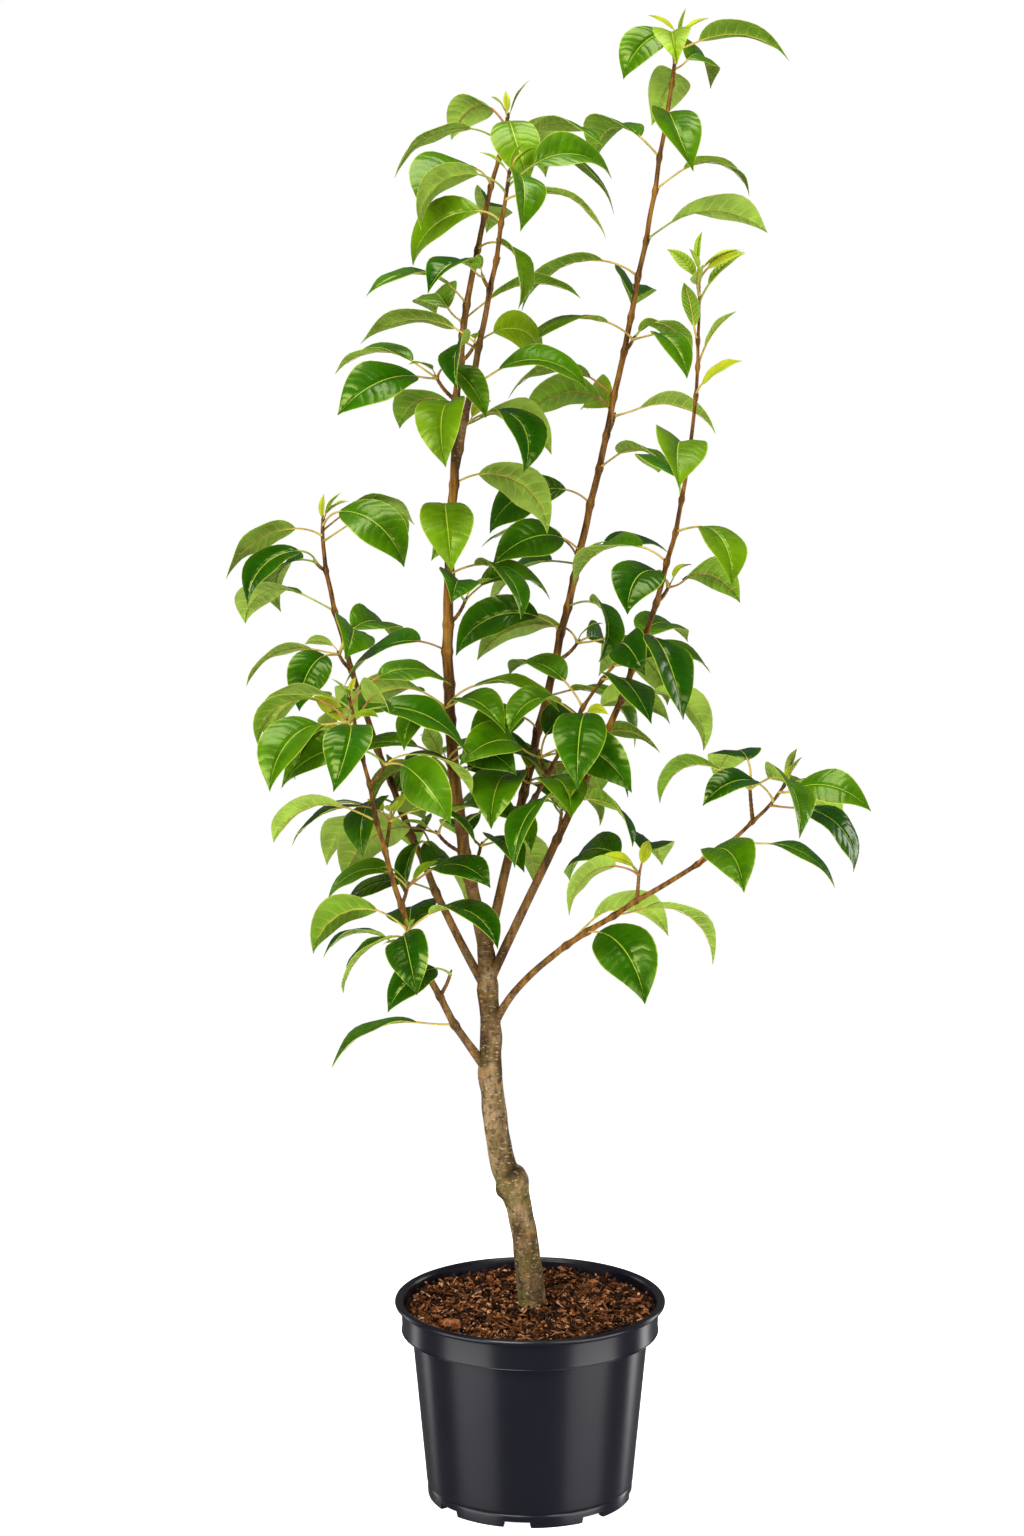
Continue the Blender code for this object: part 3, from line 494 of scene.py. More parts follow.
def new_leaf(rng, root, stem_way, out, habit, size):
    """A leaf that leaves a stem at root, leaning out from the stem's way, and arches over."""
    lean = habit.lean * rng.uniform(*LEAN_SPREAD)
    petiole = habit.petiole * size * rng.uniform(*PETIOLE_SPREAD)
    yaw = rng.uniform(*YAWS)
    rise = habit.rise + rng.uniform(*EXTRA_RISES)
    arch = habit.arch * rng.uniform(*ARCH_SPREAD)
    sweep = rng.uniform(*SWEEPS)
    roll = rng.uniform(*ROLLS)
    fold = habit.fold * rng.uniform(*FOLD_SPREAD)
    length = habit.length * size * rng.uniform(1 - habit.vigour_spread, 1 + habit.vigour_spread)
    width = length * habit.width * rng.uniform(*WIDTH_SPREAD)
    way = out * sin(lean) + stem_way * cos(lean)
    flat = Vector((way.x, way.y, 0))
    if flat.length < LEAST_HEADING:
        flat = Vector((out.x + stem_way.x, out.y + stem_way.y, 0))
    heading = Matrix.Rotation(yaw, 3, "Z") @ flat.normalized()
    along = heading * cos(rise) + UP * sin(rise)
    fall = -UP + heading.cross(UP) * sweep
    bend = (fall - along * fall.dot(along)).normalized()
    elbow = root + way * (0.5 * petiole)
    base = elbow + along * (0.5 * petiole)
    return Leaf(root, elbow, base, along, bend, arch, roll, fold, length, width)


Shape = namedtuple("Shape", "tree centre reach")


def shape_of(rings):
    points, faces = loft(rings)
    centre = sum(points, Vector()) / len(points)
    reach = max((point - centre).length for point in points)
    return Shape(BVHTree.FromPolygons(points, faces), centre, reach)


def clashes(shape, others):
    for other in others:
        if (shape.centre - other.centre).length < shape.reach + other.reach:
            if shape.tree.overlap(other.tree):
                return True
    return False


@cache
def limb_shape(limb_name):
    return shape_of(rings_of(limb_name, TEST_MARGIN))


class Growth:
    """What a mass has grown so far, and what its next leaf or spur has to keep clear of."""

    def __init__(self, mass, neighbours):
        self.rng = random.Random(f"{SEED} {mass.name}")
        self.habit = mass.habit
        self.stem = [limb_shape(mass.limb)]
        self.others = [limb_shape(name) for name in ("trunk", *LIMBS) if name != mass.limb]
        self.others += neighbours
        self.outer = []
        self.whole = []
        self.spur_lines = []
        self.leaves = []
        self.nodes = []

    def has_room(self, rings, on_stem):
        """Whether a leaf or spur touches nothing but the twig that its first ring is rooted in."""
        whole = shape_of(rings)
        outer = shape_of(rings[1:])
        if clashes(whole, self.others) or clashes(outer, self.outer):
            return False
        if clashes(outer if on_stem else whole, self.stem):
            return False
        self.outer.append(outer)
        self.whole.append(whole)
        return True


def out_way(stem_way, azimuth):
    """The direction square to a stem at this turn round it."""
    first = (Vector((1, 0, 0)) - stem_way * stem_way.x).normalized()
    return first * cos(azimuth) + stem_way.cross(first) * sin(azimuth)


def add_leaf(growth, root, stem_way, azimuth, size, on_stem):
    """Tries a leaf a few times, and keeps the first that has room."""
    for _ in range(LEAF_TRIES):
        out = out_way(stem_way, azimuth + growth.rng.uniform(-LEAF_SPREAD, LEAF_SPREAD))
        leaf = new_leaf(growth.rng, root, stem_way, out, growth.habit, size)
        if growth.has_room(leaf_rings(leaf), on_stem):
            growth.leaves.append(leaf)
            return


def add_spur(growth, root, stem_way, azimuth, stem_radius):
    """A short twig with two to four leaves round its tip, where there is room for it."""
    out = out_way(stem_way, azimuth)
    length = growth.rng.uniform(*SPUR_LENGTHS) + stem_radius
    way = out * sin(SPUR_LEAN) + stem_way * cos(SPUR_LEAN)
    tip_way = (way + UP * SPUR_LIFT).normalized()
    middle = root + way * (0.5 * length)
    tip = middle + tip_way * (0.5 * length)
    line = [root, middle, tip]
    radii = [SPUR_RADIUS, SPUR_RADIUS, SPUR_TIP_RADIUS]
    rings = tube_rings(line, ways_along(line), radii, TWIG_SIDES)
    if not growth.has_room(rings, on_stem=True):
        return
    growth.spur_lines.append(line)
    count = growth.rng.choice(SPUR_LEAVES)
    azimuth = growth.rng.uniform(0, TURN)
    for _ in range(count):
        size = growth.rng.uniform(*SPUR_LEAF_SIZES)
        add_leaf(growth, tip - tip_way * SPUR_TIP_RADIUS, tip_way, azimuth, size, on_stem=False)
        azimuth += TURN / count


def grow_mass(mass, neighbours):
    """The leaves and spurs of one mass, by its seed, clear of its neighbours."""
    growth = Growth(mass, neighbours)
    limb = LIMBS[mass.limb]
    reach = mass.end - mass.start
    whole = limb_length(limb)
    length = limb_length(limb, mass.start, mass.end)
    azimuth = growth.rng.uniform(0, TURN)
    place = FIRST_NODE
    last = length - max(FIRST_NODE, ROSETTE_STEP * (mass.rosette + 1))
    while place < last:
        share = mass.start + reach * place / length
        root = limb_point(limb, share)
        way = limb_direction(limb, share)
        growth.nodes.append((share * whole, root, way, out_way(way, azimuth), limb_radius(limb, share)))
        if growth.rng.random() < mass.spurs:
            add_spur(growth, root, way, azimuth, limb_radius(limb, share))
        else:
            add_leaf(growth, root, way, azimuth, 1.0, on_stem=True)
        azimuth += GOLDEN_TURN
        place += mass.spacing * growth.rng.uniform(*SPACING_SPREAD)
    for turn in range(mass.rosette):
        share = mass.end - reach * (BUD_LENGTH + ROSETTE_STEP * turn) / length
        size = growth.rng.uniform(*ROSETTE_LEAF_SIZES)
        root = limb_point(limb, share)
        add_leaf(growth, root, limb_direction(limb, share), azimuth, size, on_stem=True)
        azimuth += GOLDEN_TURN
    return growth


# Materials


def shader_of(name, colour, roughness, shine=0.25):
    """A new material with its Principled shader set to one colour, roughness and specular level."""
    material = bpy.data.materials.new(name)
    material.use_nodes = True
    shader = material.node_tree.nodes["Principled BSDF"]
    shader.inputs["Base Color"].default_value = (*colour, 1)
    shader.inputs["Roughness"].default_value = roughness
    shader.inputs["Specular IOR Level"].default_value = shine
    return material, shader


def lay(material, texture, stretch):
    """Lays a texture over the object's own coordinates, stretched along them."""
    nodes = material.node_tree.nodes
    links = material.node_tree.links
    place = nodes.new("ShaderNodeTexCoord")
    mapping = nodes.new("ShaderNodeMapping")
    mapping.inputs["Scale"].default_value = stretch
    links.new(place.outputs["Object"], mapping.inputs["Vector"])
    links.new(mapping.outputs["Vector"], texture.inputs["Vector"])


def pattern(material, scale, detail=3.0, stretch=(1, 1, 1)):
    texture = material.node_tree.nodes.new("ShaderNodeTexNoise")
    texture.inputs["Scale"].default_value = scale
    texture.inputs["Detail"].default_value = detail
    lay(material, texture, stretch)
    return texture.outputs["Fac"]


def cells(material, scale, stretch=(1, 1, 1)):
    """Distances from the middles of uneven cells."""
    texture = material.node_tree.nodes.new("ShaderNodeTexVoronoi")
    texture.inputs["Scale"].default_value = scale
    lay(material, texture, stretch)
    return texture.outputs["Distance"]


def height_in(material):
    """The height above the ground, in metres."""
    nodes = material.node_tree.nodes
    place = nodes.new("ShaderNodeTexCoord")
    parts = nodes.new("ShaderNodeSeparateXYZ")
    material.node_tree.links.new(place.outputs["Object"], parts.inputs["Vector"])
    return parts.outputs["Z"]


def grown_parts(material):
    """The values that a grown surface carries at each of its points."""
    nodes = material.node_tree.nodes
    read = nodes.new("ShaderNodeAttribute")
    read.attribute_name = "grown"
    parts = nodes.new("ShaderNodeSeparateXYZ")
    material.node_tree.links.new(read.outputs["Vector"], parts.inputs["Vector"])
    return parts.outputs[0], parts.outputs[1]


def reckon(material, operation, *values):
    """One sum on outputs and numbers."""
    node = material.node_tree.nodes.new("ShaderNodeMath")
    node.operation = operation
    for socket, value in zip(node.inputs, values):
        if isinstance(value, (int, float)):
            socket.default_value = value
        else:
            material.node_tree.links.new(value, socket)
    return node.outputs["Value"]


def steps(material, value, *stops):
    """A ramp of colours over a value, from (place, colour) stops."""
    ramp = material.node_tree.nodes.new("ShaderNodeValToRGB")
    elements = ramp.color_ramp.elements
    while len(elements) < len(stops):
        elements.new(0.5)
    for element, (place, colour) in zip(elements, stops):
        element.position = place
        element.color = (*colour, 1)
    material.node_tree.links.new(value, ramp.inputs["Fac"])
    return ramp.outputs["Color"]


def grey(value):
    return (value, value, value)


def where_low(material, value, full, none, most=1.0):
    """A share that is most where a value is low, and falls to nothing."""
    return steps(material, value, (full, grey(most)), (none, BLACK))


def where_high(material, value, none, full, most=1.0):
    """A share that rises from nothing to most as a value rises."""
    return steps(material, value, (none, BLACK), (full, grey(most)))


def mixed(material, share, first, second):
    """One colour over another by a share."""
    mix = material.node_tree.nodes.new("ShaderNodeMix")
    mix.data_type = "RGBA"
    links = material.node_tree.links
    links.new(share, mix.inputs["Factor"])
    for value, socket in ((first, mix.inputs["A"]), (second, mix.inputs["B"])):
        if isinstance(value, tuple):
            socket.default_value = (*value, 1)
        else:
            links.new(value, socket)
    return mix.outputs["Result"]


def colour_from(material, shader, colour):
    material.node_tree.links.new(colour, shader.inputs["Base Color"])


def raise_bumps(material, shader, height, strength, distance):
    bump = material.node_tree.nodes.new("ShaderNodeBump")
    bump.inputs["Strength"].default_value = strength
    bump.inputs["Distance"].default_value = distance
    material.node_tree.links.new(height, bump.inputs["Height"])
    material.node_tree.links.new(bump.outputs["Normal"], shader.inputs["Normal"])


def scaled(colour, factor):
    return tuple(min(1.0, part * factor) for part in colour)


def vein_lines(material, run, lines):
    """Nothing on each of a number of lines along a blade, and one midway between them."""
    turns = reckon(material, "MULTIPLY", run, lines * pi)
    return reckon(material, "ABSOLUTE", reckon(material, "COSINE", turns))


@cache
def blade_finish(name, colour, vein_colour, roughness, shine, vein_height, vein_share, vein_width):
    """A blade: side veins with finer ones between them, a pale midrib and a pale margin that is partly the
    leaf's own colour and partly a painted edge highlight.
    """
    material, shader = shader_of(name, colour, roughness, shine)
    shader.inputs["Specular Tint"].default_value = (*GLOSS_TINT, 1)
    run, away = grown_parts(material)
    wander = reckon(material, "MULTIPLY", pattern(material, 60, 2), 0.06)
    run = reckon(material, "ADD", run, wander)
    puffs = vein_lines(material, run, SIDE_VEINS)
    fine = vein_lines(material, run, SIDE_VEINS * FINE_VEINS)
    mottle = pattern(material, 38, 4)
    tint = steps(material, mottle, (0.34, scaled(colour, 0.72)), (0.66, scaled(colour, 1.25)))
    tint = mixed(material, where_high(material, away, 0.45, 1.0, 0.30), tint, vein_colour)
    tint = mixed(material, where_low(material, fine, 0.05, 0.70, 0.25 * vein_share), tint, vein_colour)
    fade = reckon(material, "SUBTRACT", 1.0, reckon(material, "MULTIPLY", away, 0.75))
    veins = reckon(material, "MULTIPLY", where_low(material, puffs, 0.02, vein_width, vein_share), fade)
    tint = mixed(material, veins, tint, vein_colour)
    # pale margin, partly the leaf's own colour and partly a painted edge highlight
    tint = mixed(material, where_high(material, away, 0.955, 0.985, 0.75), tint, MARGIN_AND_EDGE_HIGHLIGHT_COLOUR)
    tint = mixed(material, where_low(material, away, 0.010, 0.024), tint, MIDRIB_COLOUR)
    colour_from(material, shader, tint)
    height = reckon(material, "ADD", puffs, reckon(material, "MULTIPLY", pattern(material, 55, 0), 5.0))
    height = reckon(material, "MULTIPLY", height, where_high(material, away, 0.0, 0.16))
    raise_bumps(material, shader, height, 0.9, vein_height)
    return material


@cache
def twig_finish(name, colour, roughness):
    """Green wood of petioles and buds, a little mottled, with a fine grain."""
    material, shader = shader_of(name, colour, roughness)
    mottle = pattern(material, 90)
    tint = steps(material, mottle, (0.35, scaled(colour, 0.75)), (0.65, scaled(colour, 1.2)))
    colour_from(material, shader, tint)
    raise_bumps(material, shader, pattern(material, 600, 3, (1, 1, 0.3)), 0.3, 0.0003)
    return material


@cache
def bark_finish(name, shine):
    """Bark that runs from olive, cracked and dashed with pores to the smooth red-brown of shoots, with painted
    shade in its sunken cracks.
    """
    material, shader = shader_of(name, (0.16, 0.11, 0.055), 0.8, shine)
    shader.inputs["Specular Tint"].default_value = (*BARK_GLOSS_TINT, 1)
    youth, painted_crack_shade = grown_parts(material)
    ground = steps(
        material, pattern(material, 60, 8, (1, 1, 0.40)),
        (0.36, (0.042, 0.025, 0.010)), (0.49, (0.128, 0.077, 0.034)), (0.61, (0.275, 0.180, 0.092)),
    )
    grain = where_low(material, pattern(material, 330, 4, (1, 1, 0.30)), 0.36, 0.52, 0.55)
    old = mixed(material, grain, ground, (0.062, 0.035, 0.014))
    damp = steps(
        material, height_in(material),
        (0.205, WHITE), (0.270, grey(0.55)), (0.325, grey(0.95)), (0.355, grey(0.50)), (0.600, grey(0.30)),
    )
    moss = reckon(material, "MULTIPLY", where_high(material, pattern(material, 34, 5), 0.44, 0.60, 0.75), damp)
    old = mixed(material, moss, old, (0.098, 0.082, 0.014))
    wavy = pattern(material, 190, 4, (1, 1, 2.4))
    dashes = where_high(material, wavy, 0.590, 0.650, 0.75)
    old = mixed(material, dashes, old, (0.400, 0.320, 0.220))
    rust = where_high(material, pattern(material, 120, 3, (1, 1, 1.5)), 0.63, 0.68, 0.8)
    old = mixed(material, rust, old, (0.290, 0.130, 0.032))
    cracks = where_low(material, pattern(material, 120, 6, (1, 1, 1.5)), 0.370, 0.440, 0.70)
    old = mixed(material, cracks, old, (0.048, 0.032, 0.013))
    streaks = pattern(material, 170, 4, (1, 1, 0.10))
    young = steps(
        material, streaks,
        (0.34, (0.034, 0.010, 0.001)), (0.50, (0.130, 0.048, 0.004)), (0.68, (0.290, 0.130, 0.016)),
    )
    pores = where_low(material, cells(material, 300, (1, 1, 1.7)), 0.15, 0.22, 0.50)
    young = mixed(material, pores, young, (0.380, 0.210, 0.050))
    tint = mixed(material, youth, old, young)
    # painted shade: near-black mixed in where the bark is sunk in cracks, fissures and the graft's crevice
    tint = mixed(material, painted_crack_shade, tint, (0.018, 0.010, 0.005))
    colour_from(material, shader, tint)
    dull = steps(material, youth, (0.2, grey(0.82)), (0.8, grey(0.42)))
    material.node_tree.links.new(dull, shader.inputs["Roughness"])
    rough = pattern(material, 400, 8, (1, 1, 0.6))
    height = reckon(material, "ADD", rough, reckon(material, "MULTIPLY", dashes, 0.4))
    height = reckon(material, "SUBTRACT", height, reckon(material, "MULTIPLY", cracks, 0.6))
    height = reckon(material, "MULTIPLY", height, steps(material, youth, (0.3, WHITE), (0.8, grey(0.25))))
    raise_bumps(material, shader, height, 0.9, 0.0012)
    return material


@cache
def plastic_finish():
    """Satin black moulded plastic, drawn upwards by its mould, with a fine grain and faint scuffs."""
    material, shader = shader_of("nursery_black", (0.003, 0.003, 0.005), 0.30, 0.5)
    shader.inputs["Anisotropic"].default_value = 0.6
    shader.inputs["Anisotropic Rotation"].default_value = 0.25
    around = material.node_tree.nodes.new("ShaderNodeTangent")
    around.direction_type = "RADIAL"
    around.axis = "Z"
    material.node_tree.links.new(around.outputs["Tangent"], shader.inputs["Tangent"])
    uneven = steps(material, pattern(material, 30, 2, (1, 1, 0.2)), (0.30, grey(0.28)), (0.75, grey(0.31)))
    material.node_tree.links.new(uneven, shader.inputs["Roughness"])
    tint = steps(material, pattern(material, 12), (0.3, (0.003, 0.003, 0.006)), (0.7, (0.004, 0.004, 0.009)))
    colour_from(material, shader, tint)
    raise_bumps(material, shader, pattern(material, 900, 2), 0.05, 0.0002)
    return material


@cache
def chip_finish(name, colour):
    """Composted bark: fibrous along one way, dull, with dark pits."""
    material, shader = shader_of(name, colour, 0.92, 0.12)
    grain = pattern(material, 420, 5, (1, 0.6, 1))
    tint = steps(material, grain, (0.34, scaled(colour, 0.35)), (0.60, scaled(colour, 1.4)))
    colour_from(material, shader, tint)
    raise_bumps(material, shader, pattern(material, 900, 4), 0.8, 0.0008)
    return material


# Meshes


class Skin:
    """Points and faces of many small shapes, gathered into one mesh, with two values at each point."""

    def __init__(self):
        self.points = []
        self.faces = []
        self.slots = []
        self.grown = []
        self.count = 0

    def add(self, points, faces, slot, grown=(0.0, 0.0)):
        points = np.asarray(points, float).reshape(-1, 3)
        values = np.zeros((len(points), 3))
        values[:, :2] = grown
        self.points.append(points)
        self.grown.append(values)
        self.faces.extend(tuple(corner + self.count for corner in face) for face in faces)
        self.slots.extend([slot] * len(faces) if isinstance(slot, int) else slot)
        self.count += len(points)

    def build(self, name, materials, smooth_angle=radians(60)):
        mesh = bpy.data.meshes.new(name)
        mesh.from_pydata(np.concatenate(self.points).tolist(), [], self.faces)
        mesh.polygons.foreach_set("material_index", self.slots)
        carried = mesh.attributes.new("grown", "FLOAT_VECTOR", "POINT")
        carried.data.foreach_set("vector", np.concatenate(self.grown).ravel())
        for material in materials:
            mesh.materials.append(material)
        mesh.shade_smooth()
        mesh.set_sharp_from_angle(angle=smooth_angle)
        mesh.update()
        made = bpy.data.objects.new(name, mesh)
        bpy.context.scene.collection.objects.link(made)
        return made


def tube(points, radii, sides):
    """Points and faces of a closed tube along a line."""
    return loft(tube_rings(points, ways_along(points), radii, sides))


def place_on(piece, slot, *nodes):
    """Hands a finished piece to the tree's body, in place of its solids."""
    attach(piece, "root")
    if nodes:
        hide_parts(*nodes)


# Leaf blades: a grid of rows that follow the side veins from the midrib to the margin

SIDEWAYS = np.array([-s for s in reversed(BLADE_COLUMNS)] + [0] + list(BLADE_COLUMNS))
AWAY = np.abs(SIDEWAYS)[None, :]
HAND = np.sign(SIDEWAYS)[None, :]
RUN = np.array(BLADE_ROWS)[:, None]
ON_MIDRIB = BLADE_END * RUN**1.15
ON_MARGIN = FIRST_EDGE + (BLADE_END - FIRST_EDGE) * RUN**0.80
BLADE_PLACES = ON_MIDRIB + (ON_MARGIN - ON_MIDRIB) * AWAY**VEIN_CURVE


def blade_faces():
    """The upper faces of a blade, and the rest of its thin closed shell."""
    columns = len(SIDEWAYS)
    rows = len(BLADE_ROWS)
    under = rows * columns
    upper = []
    rest = []
    for row in range(rows - 1):
        for column in range(columns - 1):
            a = row * columns + column
            b = a + columns
            upper.append((a, b, b + 1, a + 1))
            rest.append((under + a, under + a + 1, under + b + 1, under + b))
        low = row * columns
        high = low + columns
        rest.append((low, under + low, under + high, high))
        rest.append((high - 1, high + columns - 1, under + high + columns - 1, under + high - 1))
    last = under - columns
    for column in range(columns - 1):
        rest.append((column, column + 1, under + column + 1, under + column))
        end = last + column
        rest.append((end, under + end, under + end + 1, end + 1))
    return upper, rest


UPPER_FACES, OTHER_FACES = blade_faces()
SPREAD_OUT = np.stack([RUN + 0 * AWAY, AWAY + 0 * RUN], -1).reshape(-1, 2)
BLADE_GROWN = np.concatenate([SPREAD_OUT, SPREAD_OUT])


def blade_points(leaf, rng):
    """The points of a blade that is folded along its midrib, droops to its margin and waves there."""
    t = BLADE_PLACES
    widest = BROAD_BASE / (BROAD_BASE + LONG_TIP)
    most = widest**BROAD_BASE * (1 - widest) ** LONG_TIP
    half = 0.5 * leaf.width * t**BROAD_BASE * (1 - t) ** LONG_TIP / most * (1 - TIP_PINCH * t**PINCH_POWER)
    out = AWAY * half
    height = out * (sin(leaf.fold) - DROOP * AWAY)
    waves = rng.uniform(1.2, 2.2)
    phase = rng.uniform(0, TURN)
    height += EDGE_WAVE * half * AWAY**2 * np.sin(TURN * waves * t + phase * HAND)
    roll = (leaf.roll + rng.uniform(-TWIST, TWIST) * t)[..., None]
    turn = (leaf.arch * t)[..., None]
    radius = leaf.length / leaf.arch
    start = np.array(leaf.along)
    bend = np.array(leaf.bend)
    side = np.array(leaf.along.cross(leaf.bend))
    middle = np.array(leaf.base) + radius * (start * np.sin(turn) + bend * (1 - np.cos(turn)))
    along = start * np.cos(turn) + bend * np.sin(turn)
    up = np.cross(along, side)
    across = side * np.cos(roll) + up * np.sin(roll)
    lift = up * np.cos(roll) - side * np.sin(roll)
    top = middle + across * (HAND * out * cos(leaf.fold))[..., None] + lift * height[..., None]
    under = top - lift * BLADE_THICKNESS
    return np.concatenate([top.reshape(-1, 3), under.reshape(-1, 3)])


def tone_with_painted_light(leaf, habit, rng):
    """The tone of a blade: painted shade low in the crown and painted light high up, spread at random, and
    lightest on young shoots.
    """
    if habit is not GROWN:
        return len(BLADE_TONES) - rng.choice((1, 1, 2))
    # painted light and shade: blades high in the crown take lighter tones, those low down darker ones
    height = (leaf.base.z - PAINTED_SHADE_HEIGHT) / (PAINTED_LIGHT_HEIGHT - PAINTED_SHADE_HEIGHT)
    place = 1.1 + 1.2 * min(max(height, 0), 1) + rng.gauss(0, 1.1)
    return min(max(round(place), 0), len(BLADE_TONES) - 2)


def add_blade(skin, leaf, habit, rng):
    points = blade_points(leaf, rng)
    tone = tone_with_painted_light(leaf, habit, rng)
    under = len(BLADE_TONES) + rng.choice((0, 1, 1))
    slots = [tone] * len(UPPER_FACES) + [under] * len(OTHER_FACES)
    skin.add(points, UPPER_FACES + OTHER_FACES, slots, BLADE_GROWN)


# Twigs: petioles, spurs and buds

TWIG_TONES = (
    ("petiole_gold", (0.500, 0.360, 0.065), 0.42),
    ("petiole_green", (0.270, 0.320, 0.045), 0.42),
    ("petiole_rust", (0.330, 0.150, 0.040), 0.45),
    ("bud_brown", (0.062, 0.024, 0.012), 0.50),
)
BUD_SLOT = 3
SPUR_SLOT = 4
PETIOLE_STEPS = 7
RIB_PLACES = (0.12, 0.28, 0.46, 0.64, 0.82)


def add_petiole(skin, leaf, rng, stoutness=1.0):
    """The stalk of a leaf, swollen at its root, running on as the rib under the blade."""
    shares = [step / PETIOLE_STEPS for step in range(PETIOLE_STEPS + 1)]
    points = [petiole_point(leaf, share) for share in shares]
    radii = [stoutness * (0.00110 + 0.0010 * exp(-share * 9)) for share in shares]
    for t in RIB_PLACES:
        point, _, _, up = blade_frame(leaf, t)
        points.append(point - up * (BLADE_THICKNESS + 0.0002))
        radii.append(stoutness * 0.00066 * (1 - 0.72 * t))
    skin.add(*tube(points, radii, 6), rng.choice((0, 0, 0, 1, 2)))


def add_bud(skin, root, way, size):
    """A pointed bud, with its foot sunk in the twig."""
    shares = (0, 0.22, 0.48, 0.75, 0.92, 1)
    widths = (0.20, 0.27, 0.25, 0.15, 0.06, 0.01)
    points = [root + way * (size * share) for share in shares]
    skin.add(*tube(points, [size * width for width in widths], 7), BUD_SLOT)


SPUR_STEPS = 14
SPUR_RING_HEIGHT = 0.00028


def add_fine_spur(skin, line, rng):
    """A spur with the ring scars of its yearly growth."""
    root, middle, tip = line
    bend = middle * 2 - (root + tip) * 0.5
    points = []
    radii = []
    for step in range(SPUR_STEPS + 1):
        share = step / SPUR_STEPS
        rest = 1 - share
        points.append(root * rest**2 + bend * (2 * share * rest) + tip * share**2)
        bare = SPUR_RADIUS + (SPUR_TIP_RADIUS - SPUR_RADIUS) * share
        radii.append(bare + SPUR_RING_HEIGHT * (step % 2) + 0.0007 * exp(-share * 7))
    radii[-1] *= 0.5
    skin.add(*tube(points, radii, 9), SPUR_SLOT, (0.85, 0))


def add_leaflets(blades, twigs, root, way, habit, count, rng):
    """Small young leaves round a tip, carried on past those of the solids."""
    turn = rng.uniform(0, TURN)
    for _ in range(count):
        leaf = new_leaf(rng, root, way, out_way(way, turn), habit, rng.uniform(0.7, 1.2))
        add_blade(blades, leaf, habit, rng)
        add_petiole(twigs, leaf, rng, 0.6)
        turn += GOLDEN_TURN


# Wood


def relief(point, height):
    """How far the bark stands out at a point, and how much painted shade it gets where it is sunk in a crack
    or fissure.
    """
    fissure = noise.noise(Vector((point.x * 150, point.y * 150, point.z * 48)))
    knot = noise.noise(Vector((point.x * 45, point.y * 45, point.z * 55 + 7)))
    crack = noise.noise(Vector((point.x * 110, point.y * 110, point.z * 260 + 3)))
    out = 0.6 * fissure + 0.6 * knot - 0.35 * max(0.0, crack - 0.3)
    # painted shade: a share that darkens the bark where the relief sinks into cracks and fissures
    painted_crack_shade = min(1.0, max(0.0, 3.2 * (crack - 0.42)) + max(0.0, 1.6 * (-fissure - 0.45)))
    return height * out, painted_crack_shade


def barked(rings, points, radii, youths, lumps=None):
    """Raises the bark's relief on rings, and gives the youth and the painted shade of the sunken cracks at
    each of their points.
    """
    grown = []
    for ring, point, radius, youth in zip(rings, points, radii, youths):
        for number, corner in enumerate(ring):
            way = (corner - point).normalized()
            out, painted_crack_shade = relief(corner, RELIEF_SHARE * radius * (1 - 0.55 * youth))
            if lumps:
                lump, crevice = lumps(way, point.z)
                out += lump
                # the graft's crevice adds to the painted shade
                painted_crack_shade = min(1.0, painted_crack_shade + crevice)
            ring[number] = corner + way * out
            grown.append((youth, 0.85 * painted_crack_shade * (1 - 0.8 * youth)))
    return grown


def limb_youth(along):
    return 1 - (1 - FOOT_YOUTH) * exp(-along / YOUTH_REACH)


def limb_skin(limb, buds):
    """A finely ringed limb, swollen and a little bent at the nodes where its leaves and spurs stand."""
    length = limb_length(limb)
    slim = SLIMNESS if "trunk" in limb.clear_of else 1
    count = ceil(length / LIMB_FINE_STEP)
    points = []
    ways = []
    radii = []
    youths = []
    for step in range(count + 1):
        share = step / count
        along = share * length
        point = limb_point(limb, share)
        radius = slim * limb_radius(limb, share)
        for place, out in buds:
            gap = abs(along - place)
            if gap < 3 * NODE_BEND_REACH:
                point = point + out * (NODE_BEND * exp(-((gap / NODE_BEND_REACH) ** 2)))
                radius += NODE_SWELL * exp(-((gap / NODE_REACH) ** 2))
        points.append(point)
        ways.append(limb_direction(limb, share))
        radii.append(radius)
        youths.append(limb_youth(along))
    rings = tube_rings(points, ways, radii, LIMB_FINE_SIDES)
    grown = barked(rings, points, radii, youths)
    rings.append([points[-1] + ways[-1] * (1.5 * limb.tip_radius)])
    grown.append((1, 0))
    skin = Skin()
    skin.add(*loft(rings), 0, grown)
    return skin


# The knuckle of the graft: the way out, the height, how far it stands out, and its reach up and down
GRAFT_LUMPS = (
    ((-1.0, -0.30), 0.3240, 0.0028, 0.0120, 0.0042),
    ((1.0, -0.25), 0.3370, 0.0034, 0.0042, 0.0120),
    ((0.1, -1.0), 0.3290, 0.0022, 0.0090, 0.0090),
    ((0.3, 1.0), 0.3270, 0.0016, 0.0090, 0.0090),
)
# The crevice under the knuckle, sunk into the bark and given painted shade
GRAFT_CREVICE = ((0.75, -0.65), 0.3430, 0.0014, 0.0030, 0.0030)
JOINT_LUMPS = [
    ((limb.bend_out[0] - limb.foot[0], limb.bend_out[1] - limb.foot[1]), limb.foot[2], 0.0020, 0.0080, 0.0150)
    for limb in LIMBS.values()
    if "trunk" in limb.clear_of
]
FLARE_LOBES = 0.0007


def lump_at(lump, way, height):
    (x, y), centre, size, reach_up, reach_down = lump
    facing = max(0.0, Vector((x, y, 0)).normalized().dot(way))
    reach = reach_up if height > centre else reach_down
    return size * facing**2 * exp(-(((height - centre) / reach) ** 2))


